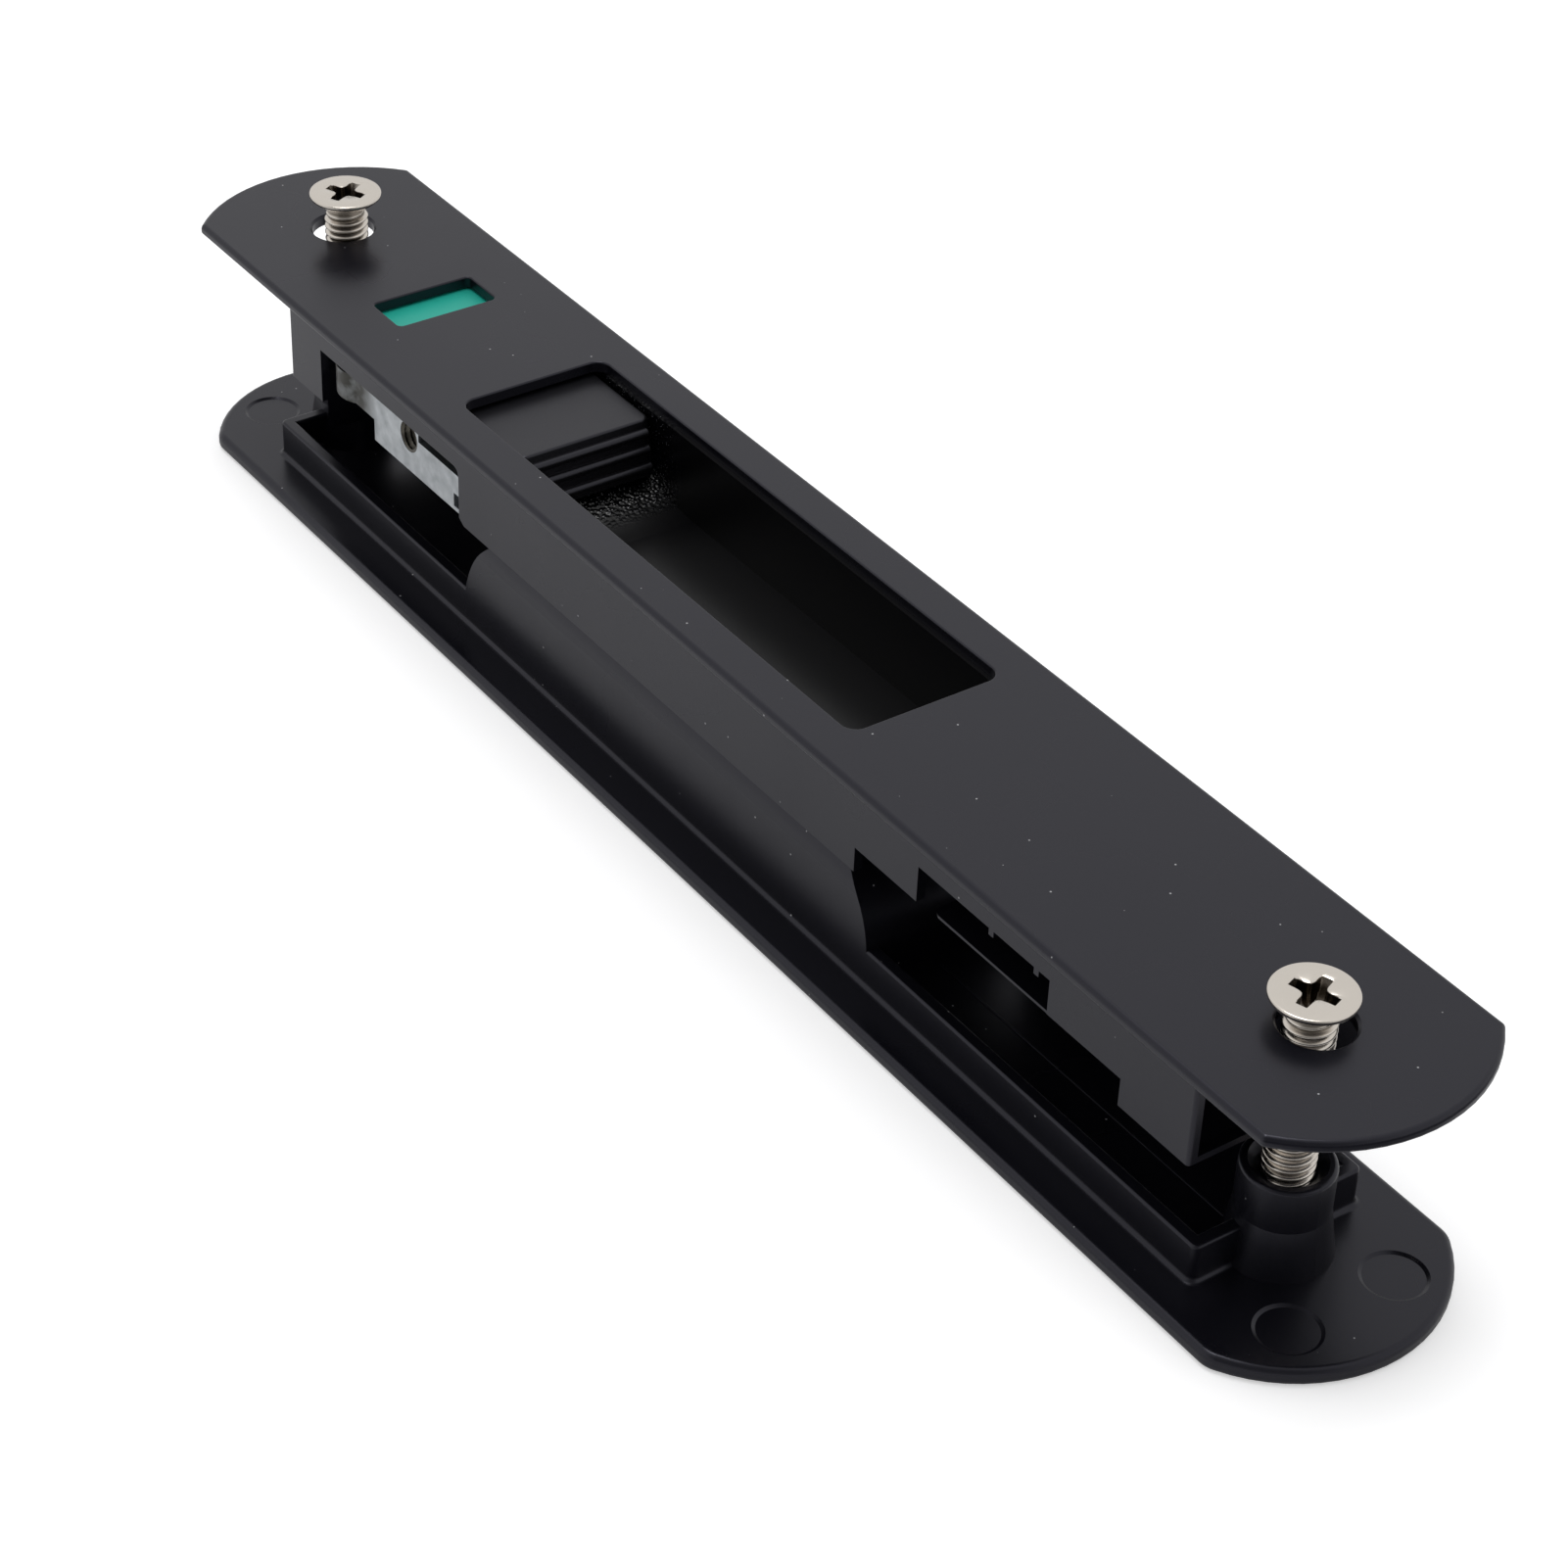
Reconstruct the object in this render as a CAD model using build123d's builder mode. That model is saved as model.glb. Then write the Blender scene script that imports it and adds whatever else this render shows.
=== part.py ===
# Sliding window hook lock: inner case with thumb slider and swinging hook, outer pull plate, through screws
import os
from math import cos, radians, sin
from build123d import *

os.makedirs("parts", exist_ok=True)

# Whole stack, outer face of the pull plate at z = 0
stack_height = 28.0
lock_length = 196.0
screw_end_margin = 15.7

# Face plate of the inner case
plate_flange = 3.3
plate_end_rise = 6.2
plate_thick = 1.2
plate_corner = 0.6
plate_edge_round = 0.55
plate_under_round = 0.35
opening_edge_round = 0.2
hole_offset = 0.8
screw_sink_radius = 3.76
screw_clear_radius = 3.5

# Housing under the face plate
case_half_width = 10.2
case_depth = 13.5
case_corner = 0.4
case_far_inset = 4.6
case_near_inset = 1.85
screw_relief = 0.8
skirt_gap = 1.0
skirt_scoop_gap = 0.6
wall_side = 1.0
wall_end = 1.2
end_bar_height = 0.7

# Openings in the face plate, from the far end of the housing
recess_inset = 35.3
recess_length = 70.5
recess_cup_gap = 0.4
recess_corner = 1.6
window_inset = 12.0
window_length = 5.85
window_flag_lap = 0.6
window_corner = 0.6

# Openings in the side wall: the hook's from the far end, the others from the near end
hook_gap_inset = 7.1
hook_gap_length = 29.8
hook_gap_round = 1.0
hook_gap_bevel = 1.0
hook_gap_lip = 0.6
hook_gap_drop = 6.9
notch_inset = 49.0
notch_length = 9.65
notch_drop = 10.7
slot_inset = 19.95
slot_drop = 6.7
step_inset = 9.55
step_drop = 10.5
tab_width = 0.7
tab_drop = 0.7
tab_insets = (28.4, 21.85)

# Cover under the near chamber, set in the second opening and the step
cover_inset = 2.0
cover_end_gap = 0.2
cover_thick = 0.3
cover_set_back = 0.3
cover_corner = 1.2
cover_boss_radius = 2.0
cover_screw_inset = 6.0
cover_screw_y = 3.0

# Outer pull plate
pull_flange = 3.95
pull_end_rise = 8.6
pull_corner = 3.0
pull_thick = 1.9
pull_edge_round = 0.7
rim_screw_inset = 0.1
rim_case_inset = 0.5
rim_wall = 1.45
rim_height = 4.2
rim_corner = 0.7
rim_edge_round = 0.3
rim_foot_round = 0.6
scoop_far_inset = 1.6
scoop_near_reach = 5.45
scoop_far_round = 13.1
scoop_near_round = 11.5
scoop_shoulder = 5.0
scoop_wall = 1.5
scoop_base = 0.2
boss_radius = 4.4
boss_height = 9.95
boss_foot_flare = 0.8
boss_foot_height = 5.2
boss_lip_round = 0.4
boss_hole_floor = 1.1
boss_mouth_radius = 3.6
mark_radius = 3.2
mark_depth = 0.2
mark_slope = 60.0
mark_end_margin = 7.0
mark_y = 6.14

# Fixing screws
screw_radius = 2.45
screw_head_radius = 4.02
screw_head_rim = 0.35
screw_length = 25.0
screw_hole_clearance = 0.05
screw_lift_near = 2.7
screw_lift_far = 4.8
cross_length = 4.6
cross_width = 1.0
cross_depth = 1.9

# Hook and its swing
pivot_inset = 11.3
pivot_side_gap = 3.8
pivot_pin_radius = 1.5
running_clearance = 0.05
barrel_radius = 3.7
crank_radius = 8.6
crank_angle = 120.0
drive_pin_radius = 1.25
slot_clearance = 0.1
hook_top_gap = 0.4
hook_shank_height = 3.5
hook_head_reach = 6.2
hook_reach = 24.4
hook_face_inset = 0.8
arm_thick = 4.2
barb_reach = 4.2
barb_length = 4.6
tail_radius = 2.2
head_lift = 0.1
nose_notch = 1.2
nose_notch_rise = 1.3
nose_notch_height = 1.6
hook_top_fall = 1.5
set_hole_reach = 13.8
set_hole_drop = 1.85
set_hole_radius = 1.8
set_hole_rim = 0.25
set_screw_length = 2.4
set_key_radius = 1.1
set_key_depth = 1.4

# Slide bar, slider and indicator
bar_thick = 1.4
bar_gap = 0.7
bar_tail = 3.5
bar_block_gap = 0.3
bar_pivot_gap = 3.1
bar_wall_gap = 2.7
slider_drop = 1.6
slider_side_gap = 0.4
slider_plate = 1.4
slider_cover = 11.6
slider_show = 10.7
slider_slope = 1.4
slider_foot_drop = 7.7
slider_block = 3.2
slider_corner = 1.0
slider_edge_round = 0.3
ridge_radius = 0.55
ridge_inset = 0.7
ridge_drops = (3.05, 4.85, 6.75)
flag_gap = 0.3
flag_thick = 0.5
carrier_thick = 0.8
carrier_wall_gap = 2.3
flag_carrier_inset = 0.2
flag_margin = 0.7

# Finger cup
cup_far_inset = 1.4
cup_wall = 0.7
cup_side_clearance = 0.1
cup_floor_drop = 10.5
cup_floor = 1.0
cup_near_inset = 0.3
cup_end = 1.1
ramp_inset = 18.4
ramp_radius = 14.5
ramp_rise = 2.5
lug_length = 7.6
lug_thick = 1.2
lug_drop = 5.2
lug_half_width = 7.5
cup_screw_reach = 4.9
cup_screw_y = 5.0

# Heights that follow from the sizes above
z_top = stack_height
z_under = z_top - plate_thick
z_case = z_top - case_depth
z_gap = z_top - hook_gap_drop
z_hook_top = z_gap - hook_top_gap
z_shank = z_hook_top - hook_shank_height
z_head = z_case + head_lift
z_bar = z_hook_top + bar_gap
z_bar_top = z_bar + bar_thick
z_slider = z_top - slider_drop
z_slider_under = z_slider - slider_plate
z_flag = z_under - flag_gap
z_carrier = z_flag - flag_thick
z_carrier_under = z_carrier - carrier_thick
z_floor = z_top - cup_floor_drop
z_tongue = z_floor + ramp_rise
z_skirt = pull_thick + rim_height + skirt_gap
z_step = z_top - step_drop
z_cover = z_step - cover_thick
z_boss = pull_thick + boss_height
boss_flare = boss_radius + boss_foot_flare
z_flare = pull_thick + boss_foot_height
boss_lip = boss_radius - boss_lip_round

# Lengths and places that follow
plate_half = case_half_width + plate_flange
plate_side = lock_length / 2 - plate_end_rise
pull_half = case_half_width + pull_flange
pull_side = lock_length / 2 - pull_end_rise
screw_half_pitch = lock_length / 2 - screw_end_margin
hole_half_pitch = screw_half_pitch + hole_offset
rim_half_length = screw_half_pitch - rim_screw_inset
mark_x = lock_length / 2 - mark_end_margin
rim_half_width = case_half_width - rim_case_inset
far_end = case_far_inset - screw_half_pitch
near_end = screw_half_pitch - case_near_inset
case_length = near_end - far_end
case_mid = (far_end + near_end) / 2
inner_half = case_half_width - wall_side
inner_length = case_length - 2 * wall_end
cup_half = inner_half - cup_side_clearance
cup_inner = cup_half - cup_wall
recess_half_width = cup_inner + recess_cup_gap
slider_half_width = cup_inner - slider_side_gap
ridge_half_length = slider_half_width - ridge_inset
carrier_half_width = inner_half - carrier_wall_gap
flag_half_width = carrier_half_width - flag_carrier_inset
window_half_width = flag_half_width - window_flag_lap
wall_height = z_under - z_case
recess_far = far_end + recess_inset
recess_near = recess_far + recess_length
recess_mid = (recess_far + recess_near) / 2
window_far = far_end + window_inset
window_near = window_far + window_length
window_mid = (window_far + window_near) / 2
hook_gap_far = far_end + hook_gap_inset
hook_gap_near = hook_gap_far + hook_gap_length
notch_far = near_end - notch_inset
notch_near = notch_far + notch_length
slot_near = near_end - slot_inset
step_near = near_end - step_inset
tab_places = [near_end - inset for inset in tab_insets]
cover_far = notch_near + cover_inset
cover_near = step_near - cover_end_gap
cover_mid = (cover_far + cover_near) / 2
cover_width = case_half_width - cover_set_back + inner_half
cover_mid_y = (inner_half - case_half_width + cover_set_back) / 2
cover_screw_x = (cover_far + cover_screw_inset, cover_near - cover_screw_inset)
cover_screw_places = [(x, cover_screw_y) for x in cover_screw_x]
scoop_far = recess_far + scoop_far_inset
scoop_near = recess_near + scoop_near_reach
skirt_far_span = (far_end + case_corner, scoop_far - skirt_scoop_gap)
skirt_near_span = (scoop_near + skirt_scoop_gap, near_end - case_corner)
skirt_spans = (skirt_far_span, skirt_near_span)
pivot_x = far_end + pivot_inset
pivot_y = -case_half_width + pivot_side_gap
hook_head_far = pivot_x + hook_head_reach
hook_end = pivot_x + hook_reach
barb_root = hook_end - barb_length
set_hole_x = pivot_x + set_hole_reach
hook_face = -case_half_width + hook_face_inset
arm_back = hook_face + arm_thick
travel = crank_radius
crank_x = pivot_x + crank_radius * cos(radians(crank_angle))
crank_y = pivot_y + crank_radius * sin(radians(crank_angle))
crank_top_y = pivot_y + crank_radius
slider_far = recess_far - slider_cover
slider_top_near = recess_far + slider_show
slider_foot_near = slider_top_near + slider_slope
slider_block_far = slider_top_near - slider_block
bar_far = crank_x - bar_tail
bar_near = slider_block_far - bar_block_gap
bar_side_left = pivot_y + bar_pivot_gap
bar_side_right = inner_half - bar_wall_gap
bar_mid_y = (bar_side_left + bar_side_right) / 2
bar_width = bar_side_right - bar_side_left
flag_length = window_length + 2 * flag_margin
cup_far = recess_far + cup_far_inset
ramp_start = recess_far + ramp_inset
cup_screw_x = recess_near + cup_screw_reach

# Shelf, keeper, spring and small screws inside the case
guide_gap = 0.3
shelf_behind = 4.1
shelf_ahead = 11.4
shelf_height = 3.6
ledge_behind = 5.9
ledge_length = 11.5
ledge_height = 2.5
keeper_far_inset = 1.3
keeper_near_inset = 0.2
keeper_thick = 0.8
keeper_screw_insets = (1.2, 7.7)
keeper_screw_wall = 1.4
slider_screw_insets = (2.5, 7.5)
small_radius = 0.7
small_clear = 0.3
small_play = 0.02
small_head_radius = 1.3
small_head_height = 0.65
spring_thick = 0.35
spring_height = 3.0
spring_wall = 1.0
spring_reach = 3.4
spring_nose_half = 6.0
spring_end = 2.1
spring_far_inset = 2.3
post_length = 2.3
post_inset = 1.9
detent_depth = 0.6
peg_reaches = (0.9, 4.4)
peg_radius = 1.0
leg_behind = 1.1
leg_ahead = 5.9
pad_length = 10.0
washer_thick = 0.2
washer_radius = 2.1
washer_gap = 0.1
pin_head_radius = 2.0
pin_head_height = 1.1
pin_recess_radius = 2.3
pin_recess_depth = 1.5

# Places of the inner pieces that follow
shelf_far = pivot_x - shelf_behind
shelf_near = pivot_x + shelf_ahead
ledge_far = pivot_x + ledge_behind
ledge_near = ledge_far + ledge_length
keeper_far = ledge_far + keeper_far_inset
keeper_near = ledge_near - keeper_near_inset
keeper_places = [(keeper_far + inset, inner_half - keeper_screw_wall) for inset in keeper_screw_insets]
pad_far = slider_block_far - pad_length
slider_screw_x = [pad_far + inset for inset in slider_screw_insets]
spring_line = inner_half - spring_wall
spring_nose = pivot_x + spring_reach
spring_near = spring_nose + spring_end
spring_far = far_end + spring_far_inset
post_far = far_end + post_inset
peg_places = [pivot_x + reach for reach in peg_reaches]
leg_far = pivot_x - leg_behind
leg_near = pivot_x + leg_ahead
shelf_side = bar_side_left - guide_gap
ledge_side = bar_side_right + guide_gap
z_keeper = z_bar - guide_gap
z_washer = z_shank + pin_recess_depth - washer_gap - washer_thick
cup_near = recess_near - cup_near_inset
z_cup = z_floor - cup_floor
z_lug = z_top - lug_drop
ramp_end = ramp_start - (ramp_radius ** 2 - (ramp_radius - ramp_rise) ** 2) ** 0.5
carrier_far = window_far - flag_margin - travel - 0.5
carrier_near = window_near + flag_margin + 0.3
z_set = z_hook_top - set_hole_drop
back_post = spring_line + spring_thick / 2 + 0.05
far_start = scoop_far + scoop_far_round
near_start = scoop_near - scoop_near_round
z_far = z_cup - scoop_far_round
z_near = z_cup - scoop_near_round
z_shoulder = z_cup - scoop_shoulder
crown_half = rim_half_width - scoop_shoulder

# Inner lock case: arc-ended face plate with a box housing under it
with BuildPart() as lock_case:
    with BuildSketch(Plane.XY.offset(z_under)) as plate_outline:
        with BuildLine():
            Line((-plate_side, -plate_half), (plate_side, -plate_half))
            ThreePointArc((plate_side, -plate_half), (lock_length / 2, 0), (plate_side, plate_half))
            Line((plate_side, plate_half), (-plate_side, plate_half))
            ThreePointArc((-plate_side, plate_half), (-lock_length / 2, 0), (-plate_side, -plate_half))
        make_face()
        fillet(plate_outline.vertices(), plate_corner)
        with Locations((recess_mid, 0)):
            RectangleRounded(recess_length, 2 * recess_half_width, recess_corner, mode=Mode.SUBTRACT)
        with Locations((window_mid, 0)):
            RectangleRounded(window_length, 2 * window_half_width, window_corner, mode=Mode.SUBTRACT)
    extrude(amount=plate_thick)
    fillet(lock_case.faces().sort_by(Axis.Z)[-1].outer_wire().edges(), plate_edge_round)
    fillet(lock_case.faces().sort_by(Axis.Z)[0].outer_wire().edges(), plate_under_round)
    for wire in lock_case.faces().sort_by(Axis.Z)[-1].inner_wires():
        fillet(wire.edges(), opening_edge_round)
    # Countersunk screw holes
    with Locations((-hole_half_pitch, 0, z_top), (hole_half_pitch, 0, z_top)):
        CounterSinkHole(screw_clear_radius, screw_sink_radius, depth=plate_thick, counter_sink_angle=90)
    # Housing walls
    with BuildSketch(Plane.XY.offset(z_case)):
        with Locations((case_mid, 0)):
            RectangleRounded(case_length, 2 * case_half_width, case_corner)
            Rectangle(inner_length, 2 * inner_half, mode=Mode.SUBTRACT)
        with Locations((screw_half_pitch, 0)):
            Circle(screw_radius + screw_relief, mode=Mode.SUBTRACT)
    extrude(amount=wall_height)
    # Near end left open round the screw, but for a bar at its foot
    with BuildSketch(Plane.XY.offset(z_case + end_bar_height)):
        with Locations((near_end, 0)):
            Rectangle(2 * wall_end + 0.2, 2 * inner_half)
    extrude(amount=wall_height - end_bar_height, mode=Mode.SUBTRACT)
    # Deeper wall on the side away from the hook, broken where the pull recess passes
    with BuildSketch(Plane.XY.offset(z_skirt)):
        for start, end in skirt_spans:
            with Locations(((start + end) / 2, (inner_half + case_half_width) / 2)):
                Rectangle(end - start, wall_side)
    extrude(amount=z_case - z_skirt)
    # Hook opening, open at the bottom, near corners eased
    with BuildSketch(Plane.XZ.offset(inner_half - 0.2)) as hook_gap_face:
        with BuildLine():
            Polyline(
                (hook_gap_far, z_case - 0.1),
                (hook_gap_far, z_gap),
                (hook_gap_near, z_gap),
                (hook_gap_near, z_case + hook_gap_lip),
                (hook_gap_near + hook_gap_bevel, z_case),
                (hook_gap_near + hook_gap_bevel, z_case - 0.1),
                close=True,
            )
        make_face()
        fillet(hook_gap_face.vertices().group_by(Axis.Y)[-1].sort_by(Axis.X)[-1], hook_gap_round)
    extrude(amount=wall_side + 0.4, mode=Mode.SUBTRACT)
    # Notch, second opening and stepped lower edge
    with BuildSketch(Plane.XZ.offset(inner_half - 0.2)):
        with BuildLine():
            Polyline(
                (notch_far, z_case - 0.1),
                (notch_far, z_top - notch_drop),
                (notch_near, z_top - notch_drop),
                (notch_near, z_top - slot_drop),
                (slot_near, z_top - slot_drop),
                (slot_near, z_step),
                (step_near, z_step),
                (step_near, z_case - 0.1),
                close=True,
            )
        make_face()
    extrude(amount=wall_side + 0.4, mode=Mode.SUBTRACT)
    # Two small lugs on the upper edge of the second opening
    with BuildSketch(Plane.XZ.offset(inner_half)):
        with Locations(*[(x, z_top - slot_drop) for x in tab_places]):
            Rectangle(tab_width, 2 * tab_drop)
    extrude(amount=wall_side)
    # Shelf over the hook: takes the pivot pin and guides one edge of the bar
    with BuildSketch(Plane.XY.offset(z_gap)):
        with Locations(((shelf_far + shelf_near) / 2, (shelf_side - inner_half - 0.1) / 2)):
            Rectangle(shelf_near - shelf_far, shelf_side + inner_half + 0.1)
        with Locations((pivot_x, pivot_y)):
            Circle(pivot_pin_radius, mode=Mode.SUBTRACT)
    extrude(amount=shelf_height)
    # Ledge on the other wall: guides the second edge and carries the keeper
    with BuildSketch(Plane.XY.offset(z_keeper)):
        with Locations(((ledge_far + ledge_near) / 2, (ledge_side + inner_half + 0.1) / 2)):
            Rectangle(ledge_near - ledge_far, inner_half + 0.1 - ledge_side)
        with Locations(*keeper_places):
            Circle(small_radius, mode=Mode.SUBTRACT)
    extrude(amount=ledge_height)
    # Posts that pinch the far end of the leaf spring
    with BuildSketch(Plane.XY.offset(z_gap)):
        with Locations((post_far + post_length / 2, spring_line - spring_thick / 2 - 0.35)):
            Rectangle(post_length, 0.6)
        with Locations((post_far + post_length / 2, (back_post + inner_half + 0.1) / 2)):
            Rectangle(post_length, inner_half + 0.1 - back_post)
    extrude(amount=z_under - z_gap)
    # Bosses for the cover screws
    with BuildSketch(Plane.XY.offset(z_step)):
        with Locations(*cover_screw_places):
            Circle(cover_boss_radius)
            Circle(small_radius, mode=Mode.SUBTRACT)
    extrude(amount=z_under - z_step)
    # Bosses for the cup screws
    with BuildSketch(Plane.XY.offset(z_lug)):
        with Locations((cup_screw_x, -cup_screw_y), (cup_screw_x, cup_screw_y)):
            Circle(2.2)
            Circle(small_radius, mode=Mode.SUBTRACT)
    extrude(amount=z_under - z_lug)
lock_case.part.label = "lock_case"
export_step(lock_case.part, "parts/lock_case.step")

# Solid back of the pull recess: arched along its length and rounded across
with BuildPart() as scoop_back:
    with BuildSketch(Plane.XZ.offset(-rim_half_width)):
        with BuildLine():
            Line((scoop_far, scoop_base), (scoop_far, z_far))
            RadiusArc((scoop_far, z_far), (far_start, z_cup), scoop_far_round)
            Line((far_start, z_cup), (near_start, z_cup))
            RadiusArc((near_start, z_cup), (scoop_near, z_near), scoop_near_round)
            Line((scoop_near, z_near), (scoop_near, scoop_base))
            Line((scoop_near, scoop_base), (scoop_far, scoop_base))
        make_face()
    extrude(amount=2 * rim_half_width)
    with BuildSketch(Plane.YZ.offset(scoop_far - 1)):
        with BuildLine():
            Line((-rim_half_width, -1), (-rim_half_width, z_shoulder))
            RadiusArc((-rim_half_width, z_shoulder), (-crown_half, z_cup), scoop_shoulder)
            Line((-crown_half, z_cup), (crown_half, z_cup))
            RadiusArc((crown_half, z_cup), (rim_half_width, z_shoulder), scoop_shoulder)
            Line((rim_half_width, z_shoulder), (rim_half_width, -1))
            Line((rim_half_width, -1), (-rim_half_width, -1))
        make_face()
    extrude(amount=scoop_near - scoop_far + 2, mode=Mode.INTERSECT)

# Hollow of the pull recess: the same shape, one wall smaller, open at the outer face
hollow_far = scoop_far + scoop_wall
hollow_near = scoop_near - scoop_wall
hollow_top = z_cup - scoop_wall
hollow_half = rim_half_width - scoop_wall
with BuildPart() as pull_hollow:
    with BuildSketch(Plane.XZ.offset(-hollow_half)):
        with BuildLine():
            Line((hollow_far, -1), (hollow_far, z_far))
            RadiusArc((hollow_far, z_far), (far_start, hollow_top), scoop_far_round - scoop_wall)
            Line((far_start, hollow_top), (near_start, hollow_top))
            RadiusArc((near_start, hollow_top), (hollow_near, z_near), scoop_near_round - scoop_wall)
            Line((hollow_near, z_near), (hollow_near, -1))
            Line((hollow_near, -1), (hollow_far, -1))
        make_face()
    extrude(amount=2 * hollow_half)
    with BuildSketch(Plane.YZ.offset(scoop_far - 1)):
        with BuildLine():
            Line((-hollow_half, -2), (-hollow_half, z_shoulder))
            RadiusArc((-hollow_half, z_shoulder), (-crown_half, hollow_top), scoop_shoulder - scoop_wall)
            Line((-crown_half, hollow_top), (crown_half, hollow_top))
            RadiusArc((crown_half, hollow_top), (hollow_half, z_shoulder), scoop_shoulder - scoop_wall)
            Line((hollow_half, z_shoulder), (hollow_half, -2))
            Line((hollow_half, -2), (-hollow_half, -2))
        make_face()
    extrude(amount=scoop_near - scoop_far + 2, mode=Mode.INTERSECT)

# Outer pull plate: rim, pull recess and two screw bosses
with BuildPart() as pull_plate:
    with BuildSketch(Plane.XY) as pull_outline:
        with BuildLine():
            Line((-pull_side, -pull_half), (pull_side, -pull_half))
            ThreePointArc((pull_side, -pull_half), (lock_length / 2, 0), (pull_side, pull_half))
            Line((pull_side, pull_half), (-pull_side, pull_half))
            ThreePointArc((-pull_side, pull_half), (-lock_length / 2, 0), (-pull_side, -pull_half))
        make_face()
        fillet(pull_outline.vertices(), pull_corner)
    extrude(amount=pull_thick)
    fillet(pull_plate.edges().group_by(Axis.Z)[0], pull_edge_round)
    fillet(pull_plate.edges().group_by(Axis.Z)[-1], pull_edge_round)
    # Rim wall and bosses
    with BuildSketch(Plane.XY.offset(pull_thick)):
        RectangleRounded(2 * rim_half_length, 2 * rim_half_width, rim_corner)
        Rectangle(2 * rim_half_length - 2 * rim_wall, 2 * rim_half_width - 2 * rim_wall, mode=Mode.SUBTRACT)
    extrude(amount=rim_height)
    fillet(pull_plate.edges().group_by(Axis.Z)[-1], rim_edge_round)
    foot_edges = pull_plate.edges().filter_by_position(Axis.Z, pull_thick - 0.01, pull_thick + 0.01)
    foot_edges = foot_edges.filter_by_position(Axis.Y, -rim_half_width - 0.01, rim_half_width + 0.01)
    foot_edges = foot_edges.filter_by_position(Axis.X, -rim_half_length - 0.01, rim_half_length + 0.01)
    fillet(foot_edges, rim_foot_round)
    # Bosses, flared at the foot
    for x in (-screw_half_pitch, screw_half_pitch):
        with BuildSketch(Plane((x, 0, 0), (1, 0, 0), (0, -1, 0))):
            with BuildLine():
                Line((0, pull_thick - 0.5), (boss_flare, pull_thick - 0.5))
                Line((boss_flare, pull_thick - 0.5), (boss_flare, pull_thick))
                Line((boss_flare, pull_thick), (boss_radius, z_flare))
                Line((boss_radius, z_flare), (boss_radius, z_boss - boss_lip_round))
                RadiusArc((boss_radius, z_boss - boss_lip_round), (boss_lip, z_boss), -boss_lip_round)
                Line((boss_lip, z_boss), (0, z_boss))
                Line((0, z_boss), (0, pull_thick - 0.5))
            make_face()
        revolve(axis=Axis((x, 0, 0), (0, 0, 1)))
    add(scoop_back.part)
    add(pull_hollow.part, mode=Mode.SUBTRACT)
    with Locations((-screw_half_pitch, 0, z_boss), (screw_half_pitch, 0, z_boss)):
        CounterSinkHole(
            screw_radius + screw_hole_clearance,
            boss_mouth_radius,
            depth=boss_height - boss_hole_floor,
            counter_sink_angle=90,
        )
    # Round ejector marks on the inner face
    with BuildSketch(Plane.XY.offset(pull_thick)):
        with GridLocations(2 * mark_x, 2 * mark_y, 2, 2):
            Circle(mark_radius)
    extrude(amount=-mark_depth, taper=mark_slope, mode=Mode.SUBTRACT)
pull_plate.part.label = "pull_plate"
export_step(pull_plate.part, "parts/pull_plate.step")

# Finger cup: side walls and floor, concave ramp under the thumb slider
with BuildPart() as finger_cup:
    with BuildSketch(Plane.XY.offset(z_cup)):
        with Locations(((cup_far + cup_near + cup_end) / 2, 0)):
            Rectangle(cup_near + cup_end - cup_far, 2 * cup_half)
    extrude(amount=z_under - z_cup)
    # Hollow with the ramp
    with BuildSketch(Plane.XZ.offset(-cup_inner)):
        with BuildLine():
            Line((cup_near, z_under + 1), (cup_near, z_floor))
            Line((cup_near, z_floor), (ramp_start, z_floor))
            RadiusArc((ramp_start, z_floor), (ramp_end, z_tongue), ramp_radius)
            Line((ramp_end, z_tongue), (cup_far - 1, z_tongue))
            Line((cup_far - 1, z_tongue), (cup_far - 1, z_under + 1))
            Line((cup_far - 1, z_under + 1), (cup_near, z_under + 1))
        make_face()
    extrude(amount=2 * cup_inner, mode=Mode.SUBTRACT)
    # Rounded inner corners at the near end
    fillet(
        finger_cup.edges().filter_by(Axis.Z).filter_by_position(Axis.X, cup_near - 0.01, cup_near + 0.01),
        recess_corner - cup_near_inset,
    )
    # Relief under the ramp
    with BuildSketch(Plane.XZ.offset(-cup_half - 1)):
        with BuildLine():
            Polyline(
                (cup_far - 1, z_cup - 1),
                (cup_far - 1, z_tongue - cup_floor),
                (ramp_end - 0.4, z_tongue - cup_floor),
                (ramp_start - 2.4, z_cup),
                (ramp_start - 2.4, z_cup - 1),
                close=True,
            )
        make_face()
    extrude(amount=2 * cup_half + 2, mode=Mode.SUBTRACT)
    # Fixing lug at the near end
    with BuildSketch(Plane.XY.offset(z_lug - lug_thick)):
        with Locations((cup_near + cup_end + lug_length / 2 - 0.2, 0)):
            Rectangle(lug_length + 0.4, 2 * lug_half_width)
        with Locations((cup_screw_x, -cup_screw_y), (cup_screw_x, cup_screw_y)):
            Circle(small_radius + small_clear, mode=Mode.SUBTRACT)
    extrude(amount=lug_thick)
finger_cup.part.label = "finger_cup"
export_step(finger_cup.part, "parts/finger_cup.step")

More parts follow.
